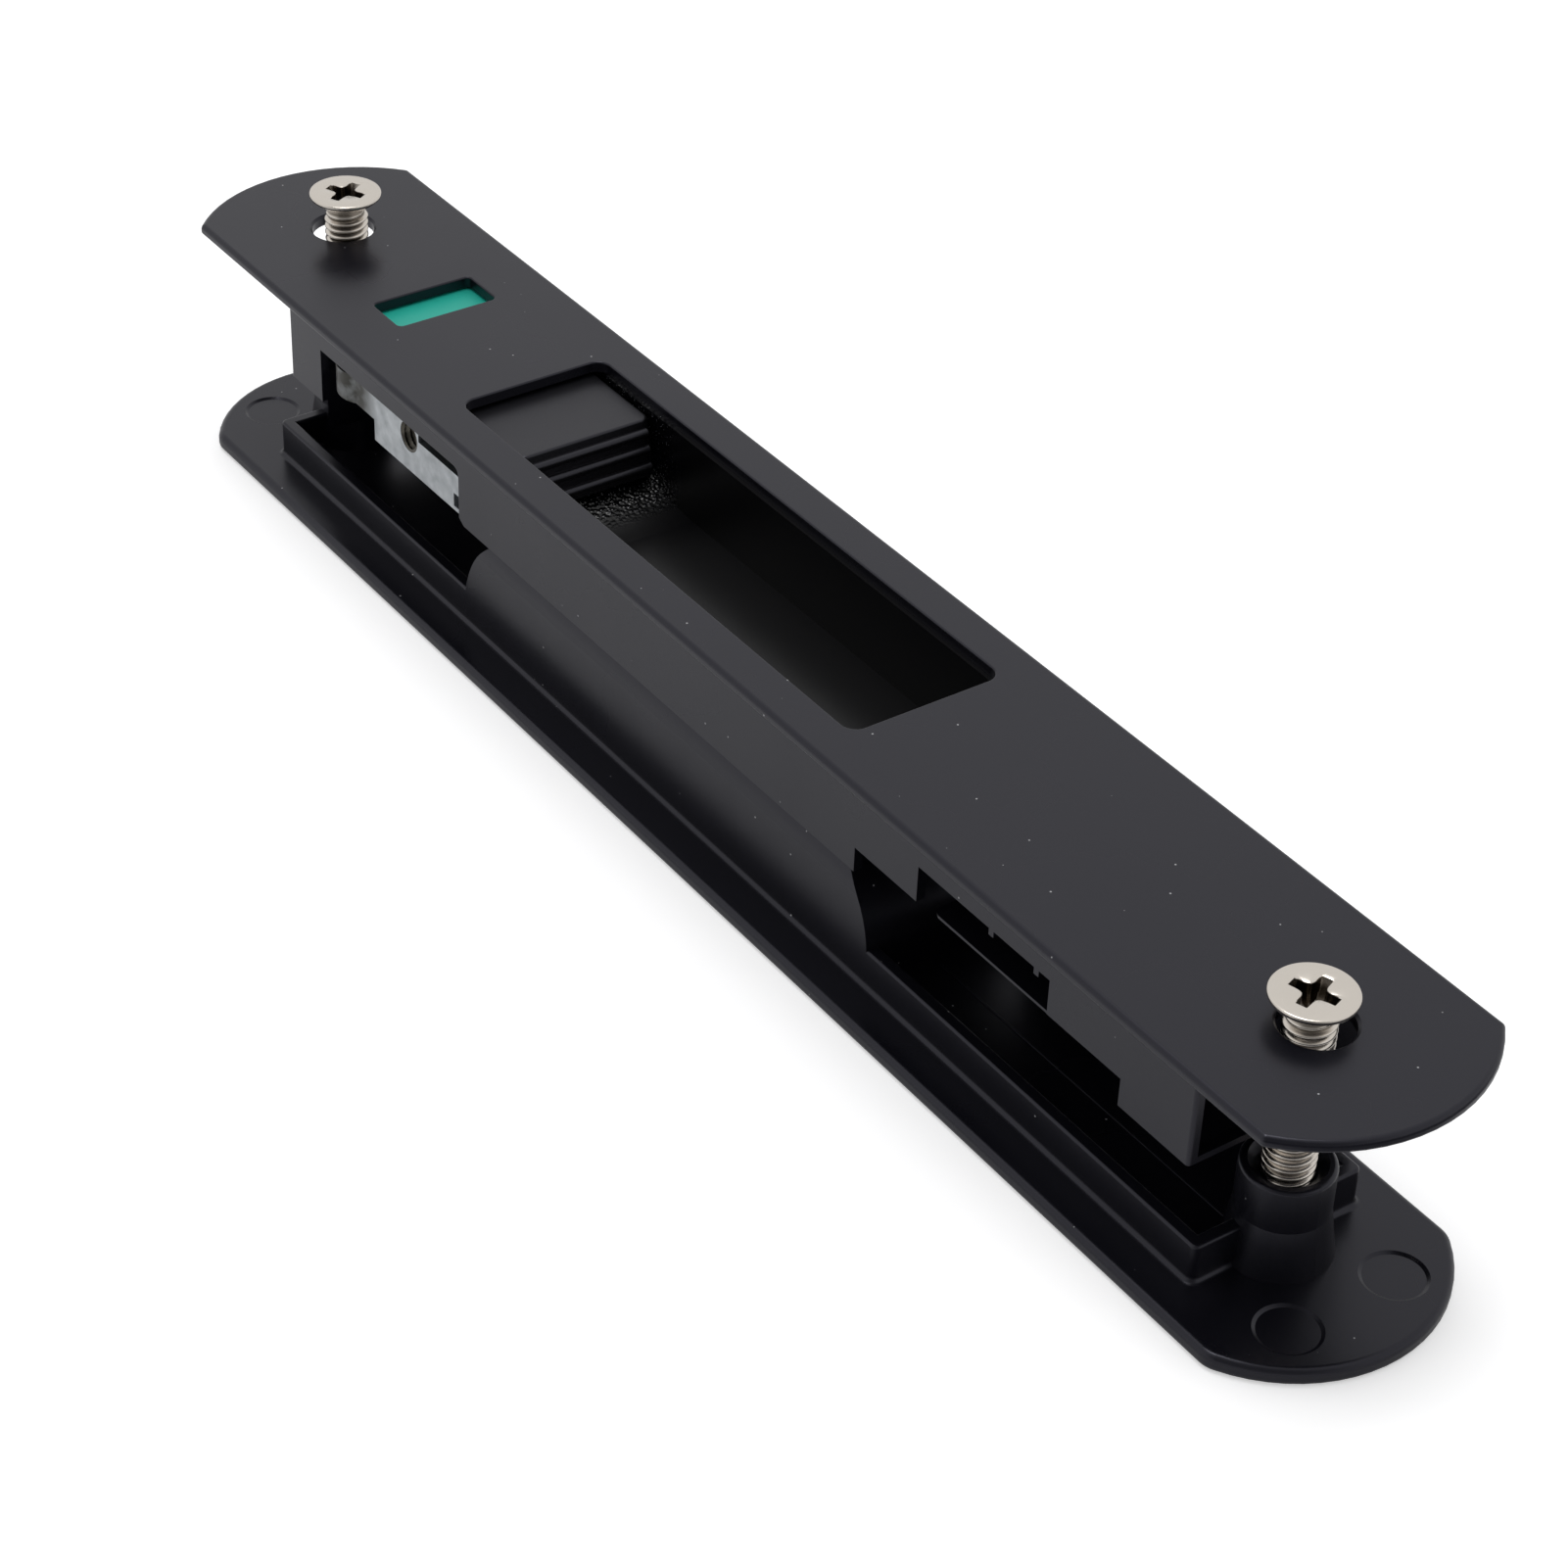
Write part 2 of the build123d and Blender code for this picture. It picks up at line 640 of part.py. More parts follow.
# Thumb slider: flat top and a sloping, ridged face towards the finger
with BuildPart() as thumb_slider:
    with BuildSketch(Plane.XZ.offset(-slider_half_width)):
        with BuildLine():
            Polyline(
                (slider_far, z_slider),
                (slider_top_near, z_slider),
                (slider_foot_near, z_top - slider_foot_drop),
                (slider_block_far, z_top - slider_foot_drop),
                (slider_block_far, z_slider_under),
                (slider_far, z_slider_under),
                close=True,
            )
        make_face()
    extrude(amount=2 * slider_half_width)
    face_edges = thumb_slider.faces().filter_by(Axis.Y, reverse=True).sort_by(Axis.X)[-1].edges()
    fillet(face_edges.filter_by(Axis.Y, reverse=True), slider_corner)
    brow_edges = thumb_slider.edges().filter_by(Axis.Y).group_by(Axis.Z)[-1]
    fillet(brow_edges.sort_by(Axis.X)[-1], slider_edge_round)
    # Pad that sits on the slide bar
    with BuildSketch(Plane.XY.offset(z_bar_top)):
        with Locations(((pad_far + slider_block_far) / 2, bar_mid_y)):
            Rectangle(slider_block_far - pad_far, bar_width - 0.2)
        with Locations(*[(x, bar_mid_y) for x in slider_screw_x]):
            Circle(small_radius, mode=Mode.SUBTRACT)
    extrude(amount=z_slider_under - z_bar_top)
    # Grip ridges across the face
    for drop in ridge_drops:
        lean = (drop - slider_drop) / (slider_foot_drop - slider_drop)
        with Locations((slider_top_near + lean * (slider_foot_near - slider_top_near), 0, z_top - drop)):
            Cylinder(ridge_radius, 2 * ridge_half_length, rotation=(90, 0, 0))
thumb_slider.part.label = "thumb_slider"
export_step(thumb_slider.part, "parts/thumb_slider.step")

# Slide bar: cross slot for the drive pin, two detent notches in one edge
with BuildPart() as slide_bar:
    with BuildSketch(Plane.XY.offset(z_bar)):
        with Locations(((bar_far + bar_near) / 2, bar_mid_y)):
            RectangleRounded(bar_near - bar_far, bar_width, 1.2)
        with Locations((crank_x, (crank_y + crank_top_y) / 2)):
            SlotCenterToCenter(
                crank_top_y - crank_y,
                2 * (drive_pin_radius + slot_clearance),
                rotation=90,
                mode=Mode.SUBTRACT,
            )
        with Locations(*[(x, bar_mid_y) for x in slider_screw_x]):
            Circle(small_radius + small_clear, mode=Mode.SUBTRACT)
        with Locations(*[(x, bar_mid_y) for x in peg_places]):
            Circle(peg_radius + running_clearance, mode=Mode.SUBTRACT)
        with Locations((spring_nose, bar_side_right), (spring_nose - travel, bar_side_right)):
            Rectangle(2 * detent_depth, 2 * detent_depth, rotation=45, mode=Mode.SUBTRACT)
    extrude(amount=bar_thick)
slide_bar.part.label = "slide_bar"
export_step(slide_bar.part, "parts/slide_bar.step")

# Indicator carrier: bridge on the bar, holds both colour pads
with BuildPart() as indicator_carrier:
    with BuildSketch(Plane.XY.offset(z_carrier_under)):
        with Locations(((carrier_far + carrier_near) / 2, 0)):
            Rectangle(carrier_near - carrier_far, 2 * carrier_half_width)
    extrude(amount=carrier_thick)
    with BuildSketch(Plane.XY.offset(z_bar_top)):
        with Locations(((leg_far + leg_near) / 2, bar_mid_y)):
            Rectangle(leg_near - leg_far, bar_width - 1.4)
    extrude(amount=z_carrier_under - z_bar_top)
    with BuildSketch(Plane.XY.offset(z_bar)):
        with Locations(*[(x, bar_mid_y) for x in peg_places]):
            Circle(peg_radius)
    extrude(amount=bar_thick)
indicator_carrier.part.label = "indicator_carrier"
export_step(indicator_carrier.part, "parts/indicator_carrier.step")

# Green pad, under the window while the hook is in
with BuildPart() as flag_green:
    with BuildSketch(Plane.XY.offset(z_carrier)):
        with Locations((window_mid, 0)):
            Rectangle(flag_length, 2 * flag_half_width)
    extrude(amount=flag_thick)
flag_green.part.label = "flag_green"
export_step(flag_green.part, "parts/flag_green.step")

# Red pad, one travel behind the green one
with BuildPart() as flag_red:
    with BuildSketch(Plane.XY.offset(z_carrier)):
        with Locations((window_mid - travel, 0)):
            Rectangle(flag_length, 2 * flag_half_width)
    extrude(amount=flag_thick)
flag_red.part.label = "flag_red"
export_step(flag_red.part, "parts/flag_red.step")

# Hook: barrel, tail and arm, deep head with a barb
with BuildPart() as hook:
    with BuildSketch(Plane.XY.offset(z_shank)):
        with Locations((pivot_x, pivot_y)):
            Circle(barrel_radius)
        with Locations(((pivot_x + hook_head_far + 1.0) / 2, (hook_face + arm_back) / 2)):
            Rectangle(hook_head_far + 1.0 - pivot_x, arm_thick)
        with Locations(((pivot_x + crank_x) / 2, (pivot_y + crank_y) / 2)):
            SlotCenterToCenter(crank_radius, 2 * tail_radius, rotation=crank_angle)
    extrude(amount=hook_shank_height)
    with BuildSketch(Plane.XY.offset(z_head)):
        with BuildLine():
            Polyline(
                (hook_head_far, hook_face),
                (hook_end, hook_face),
                (hook_end, arm_back + barb_reach - 2.4),
                (hook_end - 2.0, arm_back + barb_reach),
                (barb_root - 0.6, arm_back + barb_reach - 0.6),
                (barb_root, arm_back),
                (hook_head_far, arm_back),
                close=True,
            )
        make_face()
    extrude(amount=z_hook_top - z_head)
    # Upper edge steps down beyond the tapped hole
    fall_start = set_hole_x + set_hole_radius + set_hole_rim
    with BuildSketch(Plane.XZ):
        with Locations(((fall_start + hook_end + 1) / 2, z_hook_top)):
            Rectangle(hook_end + 1 - fall_start, 2 * hook_top_fall)
    extrude(amount=20, both=True, mode=Mode.SUBTRACT)
    # Small notch in the nose
    with BuildSketch(Plane.XZ.offset(-hook_face - nose_notch)):
        with Locations((hook_end, z_head + nose_notch_rise)):
            Rectangle(2 * nose_notch, nose_notch_height)
    extrude(amount=nose_notch + 1, mode=Mode.SUBTRACT)
    # Tapped hole through the arm
    with BuildSketch(Plane.XZ.offset(-arm_back - 1)):
        with Locations((set_hole_x, z_set)):
            Circle(set_hole_radius)
    extrude(amount=arm_thick + 2, mode=Mode.SUBTRACT)
    # Pivot hole and drive pin hole
    with BuildSketch(Plane.XY.offset(z_shank - 1)):
        with Locations((pivot_x, pivot_y)):
            Circle(pivot_pin_radius + running_clearance)
        with Locations((crank_x, crank_y)):
            Circle(drive_pin_radius)
    extrude(amount=hook_shank_height + 2, mode=Mode.SUBTRACT)
    # Recess for the pivot pin's head
    with BuildSketch(Plane.XY.offset(z_shank)):
        with Locations((pivot_x, pivot_y)):
            Circle(pin_recess_radius)
    extrude(amount=pin_recess_depth, mode=Mode.SUBTRACT)
hook.part.label = "hook"
export_step(hook.part, "parts/hook.step")

# Pivot pin: head sunk in the hook's barrel, shank pressed in the shelf
with BuildPart() as hook_pivot_pin:
    with BuildSketch(Plane.XY.offset(z_washer - pin_head_height)):
        with Locations((pivot_x, pivot_y)):
            Circle(pin_head_radius)
    extrude(amount=pin_head_height)
    with BuildSketch(Plane.XY.offset(z_washer)):
        with Locations((pivot_x, pivot_y)):
            Circle(pivot_pin_radius)
    extrude(amount=z_gap + shelf_height - 0.2 - z_washer)
hook_pivot_pin.part.label = "hook_pivot_pin"
export_step(hook_pivot_pin.part, "parts/hook_pivot_pin.step")

# Washer on the pivot pin
with BuildPart() as pivot_washer:
    with BuildSketch(Plane.XY.offset(z_washer)):
        with Locations((pivot_x, pivot_y)):
            Circle(washer_radius)
            Circle(pivot_pin_radius + running_clearance, mode=Mode.SUBTRACT)
    extrude(amount=washer_thick)
pivot_washer.part.label = "pivot_washer"
export_step(pivot_washer.part, "parts/pivot_washer.step")

# Drive pin in the hook's tail
with BuildPart() as hook_drive_pin:
    with BuildSketch(Plane.XY.offset(z_shank + 0.2)):
        with Locations((crank_x, crank_y)):
            Circle(drive_pin_radius)
    extrude(amount=z_bar_top - 0.1 - z_shank - 0.2)
hook_drive_pin.part.label = "hook_drive_pin"
export_step(hook_drive_pin.part, "parts/hook_drive_pin.step")

# Grub screw deep in the tapped hole of the hook
with BuildPart() as hook_set_screw:
    with BuildSketch(Plane.XZ.offset(-arm_back)):
        with Locations((set_hole_x, z_set)):
            Circle(set_hole_radius - small_play)
    extrude(amount=set_screw_length)
    with BuildSketch(Plane.XZ.offset(-arm_back + set_screw_length)):
        with Locations((set_hole_x, z_set)):
            RegularPolygon(set_key_radius, 6)
    extrude(amount=-set_key_depth, mode=Mode.SUBTRACT)
hook_set_screw.part.label = "hook_set_screw"
export_step(hook_set_screw.part, "parts/hook_set_screw.step")

# Keeper strip under the slide bar
with BuildPart() as bar_keeper:
    with BuildSketch(Plane.XY.offset(z_keeper - keeper_thick)):
        with Locations(((keeper_far + keeper_near) / 2, (bar_side_left + guide_gap + inner_half - 0.2) / 2)):
            Rectangle(keeper_near - keeper_far, inner_half - 0.2 - bar_side_left - guide_gap)
        with Locations(*keeper_places):
            Circle(small_radius + small_clear, mode=Mode.SUBTRACT)
    extrude(amount=keeper_thick)
bar_keeper.part.label = "bar_keeper"
export_step(bar_keeper.part, "parts/bar_keeper.step")

# Screws of the keeper strip
with BuildPart() as keeper_screws:
    with BuildSketch(Plane.XY.offset(z_keeper - keeper_thick - small_head_height)):
        with Locations(*keeper_places):
            Circle(small_head_radius)
    extrude(amount=small_head_height)
    with BuildSketch(Plane.XY.offset(z_keeper - keeper_thick)):
        with Locations(*keeper_places):
            Circle(small_radius - small_play)
    extrude(amount=keeper_thick + ledge_height - 0.3)
keeper_screws.part.label = "keeper_screws"
export_step(keeper_screws.part, "parts/keeper_screws.step")

# Leaf spring, drawn pressed back so that the bar is free to pass
nose_y = bar_side_right + guide_gap / 2 + spring_thick / 2
with BuildPart() as detent_spring:
    with BuildSketch(Plane.XY.offset(z_bar + 0.2)):
        with BuildLine():
            Polyline(
                (spring_far, spring_line - spring_thick / 2),
                (spring_nose - spring_nose_half, spring_line - spring_thick / 2),
                (spring_nose - 0.7, nose_y - spring_thick / 2),
                (spring_nose + 0.5, nose_y - spring_thick / 2),
                (spring_near, spring_line - spring_thick / 2),
                (spring_near, spring_line + spring_thick / 2),
                (spring_nose + 0.3, nose_y + spring_thick / 2),
                (spring_nose - 0.6, nose_y + spring_thick / 2),
                (spring_nose - spring_nose_half, spring_line + spring_thick / 2),
                (spring_far, spring_line + spring_thick / 2),
                close=True,
            )
        make_face()
    extrude(amount=spring_height)
detent_spring.part.label = "detent_spring"
export_step(detent_spring.part, "parts/detent_spring.step")

# Screws that hold the thumb slider on the bar
with BuildPart() as slider_screws:
    with BuildSketch(Plane.XY.offset(z_bar - small_head_height)):
        with Locations(*[(x, bar_mid_y) for x in slider_screw_x]):
            Circle(small_head_radius)
    extrude(amount=small_head_height)
    with BuildSketch(Plane.XY.offset(z_bar)):
        with Locations(*[(x, bar_mid_y) for x in slider_screw_x]):
            Circle(small_radius - small_play)
    extrude(amount=z_slider_under - z_bar - 0.1)
slider_screws.part.label = "slider_screws"
export_step(slider_screws.part, "parts/slider_screws.step")

# Screws that hold the finger cup
with BuildPart() as cup_screws:
    with BuildSketch(Plane.XY.offset(z_lug - lug_thick - small_head_height)):
        with Locations((cup_screw_x, -cup_screw_y), (cup_screw_x, cup_screw_y)):
            Circle(small_head_radius)
    extrude(amount=small_head_height)
    with BuildSketch(Plane.XY.offset(z_lug - lug_thick)):
        with Locations((cup_screw_x, -cup_screw_y), (cup_screw_x, cup_screw_y)):
            Circle(small_radius - small_play)
    extrude(amount=lug_thick + 3.0)
cup_screws.part.label = "cup_screws"
export_step(cup_screws.part, "parts/cup_screws.step")

# Cover under the near chamber
with BuildPart() as chamber_cover:
    with BuildSketch(Plane.XY.offset(z_cover)):
        with Locations((cover_mid, cover_mid_y)):
            RectangleRounded(cover_near - cover_far, cover_width, cover_corner)
        with Locations(*cover_screw_places):
            Circle(small_radius + small_clear, mode=Mode.SUBTRACT)
    extrude(amount=cover_thick)
chamber_cover.part.label = "chamber_cover"
export_step(chamber_cover.part, "parts/chamber_cover.step")

# Screws of the chamber cover
with BuildPart() as cover_screws:
    with BuildSketch(Plane.XY.offset(z_cover - small_head_height)):
        with Locations(*cover_screw_places):
            Circle(small_head_radius)
    extrude(amount=small_head_height)
    with BuildSketch(Plane.XY.offset(z_cover)):
        with Locations(*cover_screw_places):
            Circle(small_radius - small_play)
    extrude(amount=cover_thick + 3.0)
cover_screws.part.label = "cover_screws"
export_step(cover_screws.part, "parts/cover_screws.step")

# Fixing screws through both halves, not driven home
head_cone = screw_head_radius - screw_radius
with BuildPart() as fixing_screws:
    for x, lift in ((-screw_half_pitch, screw_lift_far), (screw_half_pitch, screw_lift_near)):
        head_top = z_top + lift
        with BuildSketch(Plane.XY.offset(head_top)):
            with Locations((x, 0)):
                Circle(screw_head_radius)
        extrude(amount=-screw_head_rim)
        with Locations((x, 0, head_top - screw_head_rim)):
            Cone(screw_radius, screw_head_radius, head_cone, align=(Align.CENTER, Align.CENTER, Align.MAX))
        with BuildSketch(Plane.XY.offset(head_top - screw_head_rim - head_cone)):
            with Locations((x, 0)):
                Circle(screw_radius)
        extrude(amount=-(screw_length - screw_head_rim - head_cone))
        with BuildSketch(Plane.XY.offset(head_top)):
            with Locations((x, 0)):
                Rectangle(cross_length, cross_width)
                Rectangle(cross_width, cross_length)
        extrude(amount=-cross_depth, taper=14, mode=Mode.SUBTRACT)
fixing_screws.part.label = "fixing_screws"
export_step(fixing_screws.part, "parts/fixing_screws.step")
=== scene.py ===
import bpy
import bmesh
import math
import numpy as np
from mathutils import Matrix


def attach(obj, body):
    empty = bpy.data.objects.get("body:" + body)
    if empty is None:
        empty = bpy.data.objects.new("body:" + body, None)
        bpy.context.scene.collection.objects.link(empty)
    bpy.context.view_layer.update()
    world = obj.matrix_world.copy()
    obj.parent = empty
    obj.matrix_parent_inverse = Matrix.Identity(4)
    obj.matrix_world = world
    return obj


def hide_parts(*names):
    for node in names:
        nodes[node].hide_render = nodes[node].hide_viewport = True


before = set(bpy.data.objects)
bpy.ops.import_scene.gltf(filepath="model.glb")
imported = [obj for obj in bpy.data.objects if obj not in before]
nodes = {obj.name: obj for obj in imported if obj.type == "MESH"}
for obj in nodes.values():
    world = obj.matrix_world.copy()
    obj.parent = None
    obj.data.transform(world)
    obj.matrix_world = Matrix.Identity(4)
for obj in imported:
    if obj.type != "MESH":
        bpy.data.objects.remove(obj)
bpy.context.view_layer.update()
mm = 0.001
mixA, mixB, mixOut = 6, 7, 2  # sockets of a Mix node set to colour
print("lock loaded:", len(nodes), "solids")


def hexColour(text):  # sRGB hex to linear, alpha 1
    part = np.array([int(text[k:k + 2], 16) for k in (1, 3, 5)]) / 255
    line = np.where(part <= 0.04045, part / 12.92, ((part + 0.055) / 1.055) ** 2.4)
    return (*[float(v) for v in line], 1.0)


def perMm(size):  # pattern scale for a real size in millimetres
    return 1 / (size * mm)


def addNode(tree, kind, settings=None, values=None, links=None):
    node = tree.nodes.new(kind)
    for key, value in (settings or {}).items():
        setattr(node, key, value)
    for key, value in (values or {}).items():
        node.inputs[key].default_value = value
    for key, source in (links or {}).items():
        tree.links.new(source, node.inputs[key])
    return node


def newMaterial(name):  # empty tree and its Object coordinates, in metres
    material = bpy.data.materials.new(name)
    material.use_nodes = True
    tree = material.node_tree
    tree.nodes.clear()
    return material, tree, addNode(tree, "ShaderNodeTexCoord").outputs["Object"]


def closeMaterial(tree, shader):
    addNode(tree, "ShaderNodeOutputMaterial", links={"Surface": shader.outputs[0]})


weld = {"join": 2e-7, "sliver": 1e-7, "sharp": 38}  # metres, metres, degrees


def weldPiece(name, patches, body):
    # each patch is (points, closeRows, closeColumns), points rows x columns x 3 in millimetres
    # a grid cell is one quad, and rims that patches share are welded
    spots, corners, count = [], [], 0
    for points, closeRows, closeColumns in patches:
        rows, columns = points.shape[:2]
        row, column = np.meshgrid(np.arange(rows - (not closeRows)), np.arange(columns - (not closeColumns)),
                                  indexing="ij")
        nextRow, nextColumn = (row + 1) % rows, (column + 1) % columns
        quads = np.stack([row * columns + column, row * columns + nextColumn,
                          nextRow * columns + nextColumn, nextRow * columns + column], axis=-1).reshape(-1, 4)
        spots.append(points.reshape(-1, 3) * mm)
        corners.append(quads + count)
        count += rows * columns
    mesh = bpy.data.meshes.new(name)
    mesh.from_pydata(np.concatenate(spots).tolist(), [], np.concatenate(corners).tolist())
    work = bmesh.new()
    work.from_mesh(mesh)
    bmesh.ops.remove_doubles(work, verts=work.verts, dist=weld["join"])
    bmesh.ops.dissolve_degenerate(work, edges=work.edges, dist=weld["sliver"])
    bmesh.ops.recalc_face_normals(work, faces=work.faces)
    work.to_mesh(mesh)
    work.free()
    mesh.polygons.foreach_set("use_smooth", np.ones(len(mesh.polygons), dtype=bool))
    mesh.set_sharp_from_angle(angle=math.radians(weld["sharp"]))
    piece = bpy.data.objects.new(name, mesh)
    bpy.context.scene.collection.objects.link(piece)
    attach(piece, body)
    return piece


powder = {
    "colour": "#0f0f15", "dust": "#c4c4c6", "sheen": "#efeeff", "ior": 1.5, "gloss": 0.42,
    "rough": 0.28, "roughLess": 0.04, "roughMore": 0.05, "cloudMm": 24, "cloudFrom": 0.3, "cloudTo": 0.7,
    "peelMm": 0.55, "peelHigh": 0.02, "peelBump": 0.12, "gritMm": 0.16, "gritHigh": 0.012, "gritBump": 0.25,
    "dustMm": 2.8, "dustEdge": 0.042, "dustCore": 0.024, "dustCover": 0.8,  # edge and core as shares of dustMm
}


def powderCoat():  # polyester powder coat on zinc casting: satin black, faint orange peel, stray dust
    material, tree, place = newMaterial("powderCoatBlack")
    peel = addNode(tree, "ShaderNodeTexNoise", values={"Scale": perMm(powder["peelMm"]), "Detail": 2.0},
                   links={"Vector": place})
    grit = addNode(tree, "ShaderNodeTexNoise", values={"Scale": perMm(powder["gritMm"]), "Detail": 3.0},
                   links={"Vector": place})
    cloud = addNode(tree, "ShaderNodeTexNoise", values={"Scale": perMm(powder["cloudMm"]), "Detail": 3.0},
                    links={"Vector": place})
    speck = addNode(tree, "ShaderNodeTexVoronoi", values={"Scale": perMm(powder["dustMm"])}, links={"Vector": place})
    dust = addNode(tree, "ShaderNodeMapRange", links={"Value": speck.outputs["Distance"]}, values={
        "From Min": powder["dustEdge"], "From Max": powder["dustCore"], "To Max": powder["dustCover"]})
    tint = addNode(tree, "ShaderNodeMix", {"data_type": "RGBA"},
                   {mixA: hexColour(powder["colour"]), mixB: hexColour(powder["dust"])}, {0: dust.outputs[0]})
    rough = addNode(tree, "ShaderNodeMapRange", links={"Value": cloud.outputs["Fac"]}, values={
        "From Min": powder["cloudFrom"], "From Max": powder["cloudTo"],
        "To Min": powder["rough"] - powder["roughLess"], "To Max": powder["rough"] + powder["roughMore"]})
    peelBump = addNode(tree, "ShaderNodeBump",
                       values={"Strength": powder["peelBump"], "Distance": powder["peelHigh"] * mm},
                       links={"Height": peel.outputs["Fac"]})
    bump = addNode(tree, "ShaderNodeBump",
                   values={"Strength": powder["gritBump"], "Distance": powder["gritHigh"] * mm},
                   links={"Height": grit.outputs["Fac"], "Normal": peelBump.outputs[0]})
    shader = addNode(tree, "ShaderNodeBsdfPrincipled",
                     values={"IOR": powder["ior"], "Specular IOR Level": powder["gloss"],
                             "Specular Tint": hexColour(powder["sheen"])},
                     links={"Base Color": tint.outputs[mixOut], "Roughness": rough.outputs[0],
                            "Normal": bump.outputs[0]})
    closeMaterial(tree, shader)
    return material


# the grey for the pebble tips is a painted highlight, standing in for the lamp's glints on the ramp
moulded = {
    "colour": "#08080a", "glintGrey": "#77777e", "ior": 1.52, "gloss": 0.36, "rough": 0.28, "rampRough": 0.14,
    "pebbleMm": 0.4, "pebbleHigh": 0.12, "pebbleRound": 0.6, "tipEdge": 0.2, "tipCore": 0.06,
    "fineMm": 0.2, "fineHigh": 0.015, "fineBump": 0.2, "rampTo": -26.5, "rampFade": 3.0,  # ramp lies at x below rampTo
}


def mouldedCup():  # ABS from a spark-eroded tool: deep black, ramp pebbled with painted glints as grey pebble tips, finer elsewhere
    material, tree, place = newMaterial("mouldedAbsCup")
    pebble = addNode(tree, "ShaderNodeTexVoronoi", {"feature": "SMOOTH_F1"},
                     {"Scale": perMm(moulded["pebbleMm"]), "Smoothness": moulded["pebbleRound"]}, {"Vector": place})
    fine = addNode(tree, "ShaderNodeTexNoise", values={"Scale": perMm(moulded["fineMm"]), "Detail": 2.0},
                   links={"Vector": place})
    along = addNode(tree, "ShaderNodeSeparateXYZ", links={"Vector": place})
    ramp = addNode(tree, "ShaderNodeMapRange", links={"Value": along.outputs["X"]}, values={
        "From Min": moulded["rampTo"] * mm, "From Max": (moulded["rampTo"] - moulded["rampFade"]) * mm})
    dimple = addNode(tree, "ShaderNodeBump", {"invert": True}, {"Distance": moulded["pebbleHigh"] * mm},
                     {"Height": pebble.outputs["Distance"], "Strength": ramp.outputs[0]})
    rough = addNode(tree, "ShaderNodeMapRange", values={"To Min": moulded["rough"], "To Max": moulded["rampRough"]},
                    links={"Value": ramp.outputs[0]})
    # painted glints: the pebble tips on the ramp are tinted grey in the base colour where the lamp's glints would be
    glintTips = addNode(tree, "ShaderNodeMapRange", values={"From Min": moulded["tipEdge"], "From Max": moulded["tipCore"]},
                   links={"Value": pebble.outputs["Distance"], "To Max": ramp.outputs[0]})
    tint = addNode(tree, "ShaderNodeMix", {"data_type": "RGBA"},
                   {mixA: hexColour(moulded["colour"]), mixB: hexColour(moulded["glintGrey"])}, {0: glintTips.outputs[0]})
    bump = addNode(tree, "ShaderNodeBump",
                   values={"Strength": moulded["fineBump"], "Distance": moulded["fineHigh"] * mm},
                   links={"Height": fine.outputs["Fac"], "Normal": dimple.outputs[0]})
    shader = addNode(tree, "ShaderNodeBsdfPrincipled",
                     values={"IOR": moulded["ior"], "Specular IOR Level": moulded["gloss"]},
                     links={"Base Color": tint.outputs[mixOut], "Roughness": rough.outputs[0],
                            "Normal": bump.outputs[0]})
    closeMaterial(tree, shader)
    return material


grip = {
    "colour": "#0b0b0d", "sheen": "#efeeff", "ior": 1.52, "gloss": 0.46, "rough": 0.34, "roughLess": 0.05,
    "roughMore": 0.07, "grainMm": 0.18, "grainHigh": 0.015, "grainBump": 0.2,
}


def mouldedGrip():  # ABS slider from a fine-grained tool: even satin black
    material, tree, place = newMaterial("mouldedAbsGrip")
    grain = addNode(tree, "ShaderNodeTexNoise", values={"Scale": perMm(grip["grainMm"]), "Detail": 2.0},
                    links={"Vector": place})
    bump = addNode(tree, "ShaderNodeBump", values={"Strength": grip["grainBump"], "Distance": grip["grainHigh"] * mm},
                   links={"Height": grain.outputs["Fac"]})
    rough = addNode(tree, "ShaderNodeMapRange", links={"Value": grain.outputs["Fac"]}, values={
        "To Min": grip["rough"] - grip["roughLess"], "To Max": grip["rough"] + grip["roughMore"]})
    shader = addNode(tree, "ShaderNodeBsdfPrincipled",
                     values={"Base Color": hexColour(grip["colour"]), "IOR": grip["ior"],
                             "Specular IOR Level": grip["gloss"], "Specular Tint": hexColour(grip["sheen"])},
                     links={"Roughness": rough.outputs[0], "Normal": bump.outputs[0]})
    closeMaterial(tree, shader)
    return material


pad = {
    "green": "#1db09d", "red": "#c02a22", "ior": 1.52, "rough": 0.45, "cloudMm": 4, "shadeLow": 0.94, "shadeHigh": 1.06,
    "grainMm": 0.25, "grainHigh": 0.01, "grainBump": 0.1,
}


def colourPad(name, colour):  # dyed ABS pad, moulded: even satin colour with a very fine grain
    material, tree, place = newMaterial(name)
    grain = addNode(tree, "ShaderNodeTexNoise", values={"Scale": perMm(pad["grainMm"]), "Detail": 2.0},
                    links={"Vector": place})
    cloud = addNode(tree, "ShaderNodeTexNoise", values={"Scale": perMm(pad["cloudMm"])}, links={"Vector": place})
    value = addNode(tree, "ShaderNodeMapRange", values={"To Min": pad["shadeLow"], "To Max": pad["shadeHigh"]},
                    links={"Value": cloud.outputs["Fac"]})
    shade = addNode(tree, "ShaderNodeHueSaturation", values={"Color": hexColour(colour)},
                    links={"Value": value.outputs[0]})
    bump = addNode(tree, "ShaderNodeBump", values={"Strength": pad["grainBump"], "Distance": pad["grainHigh"] * mm},
                   links={"Height": grain.outputs["Fac"]})
    shader = addNode(tree, "ShaderNodeBsdfPrincipled", values={"Roughness": pad["rough"], "IOR": pad["ior"]},
                     links={"Base Color": shade.outputs[0], "Normal": bump.outputs[0]})
    closeMaterial(tree, shader)
    return material


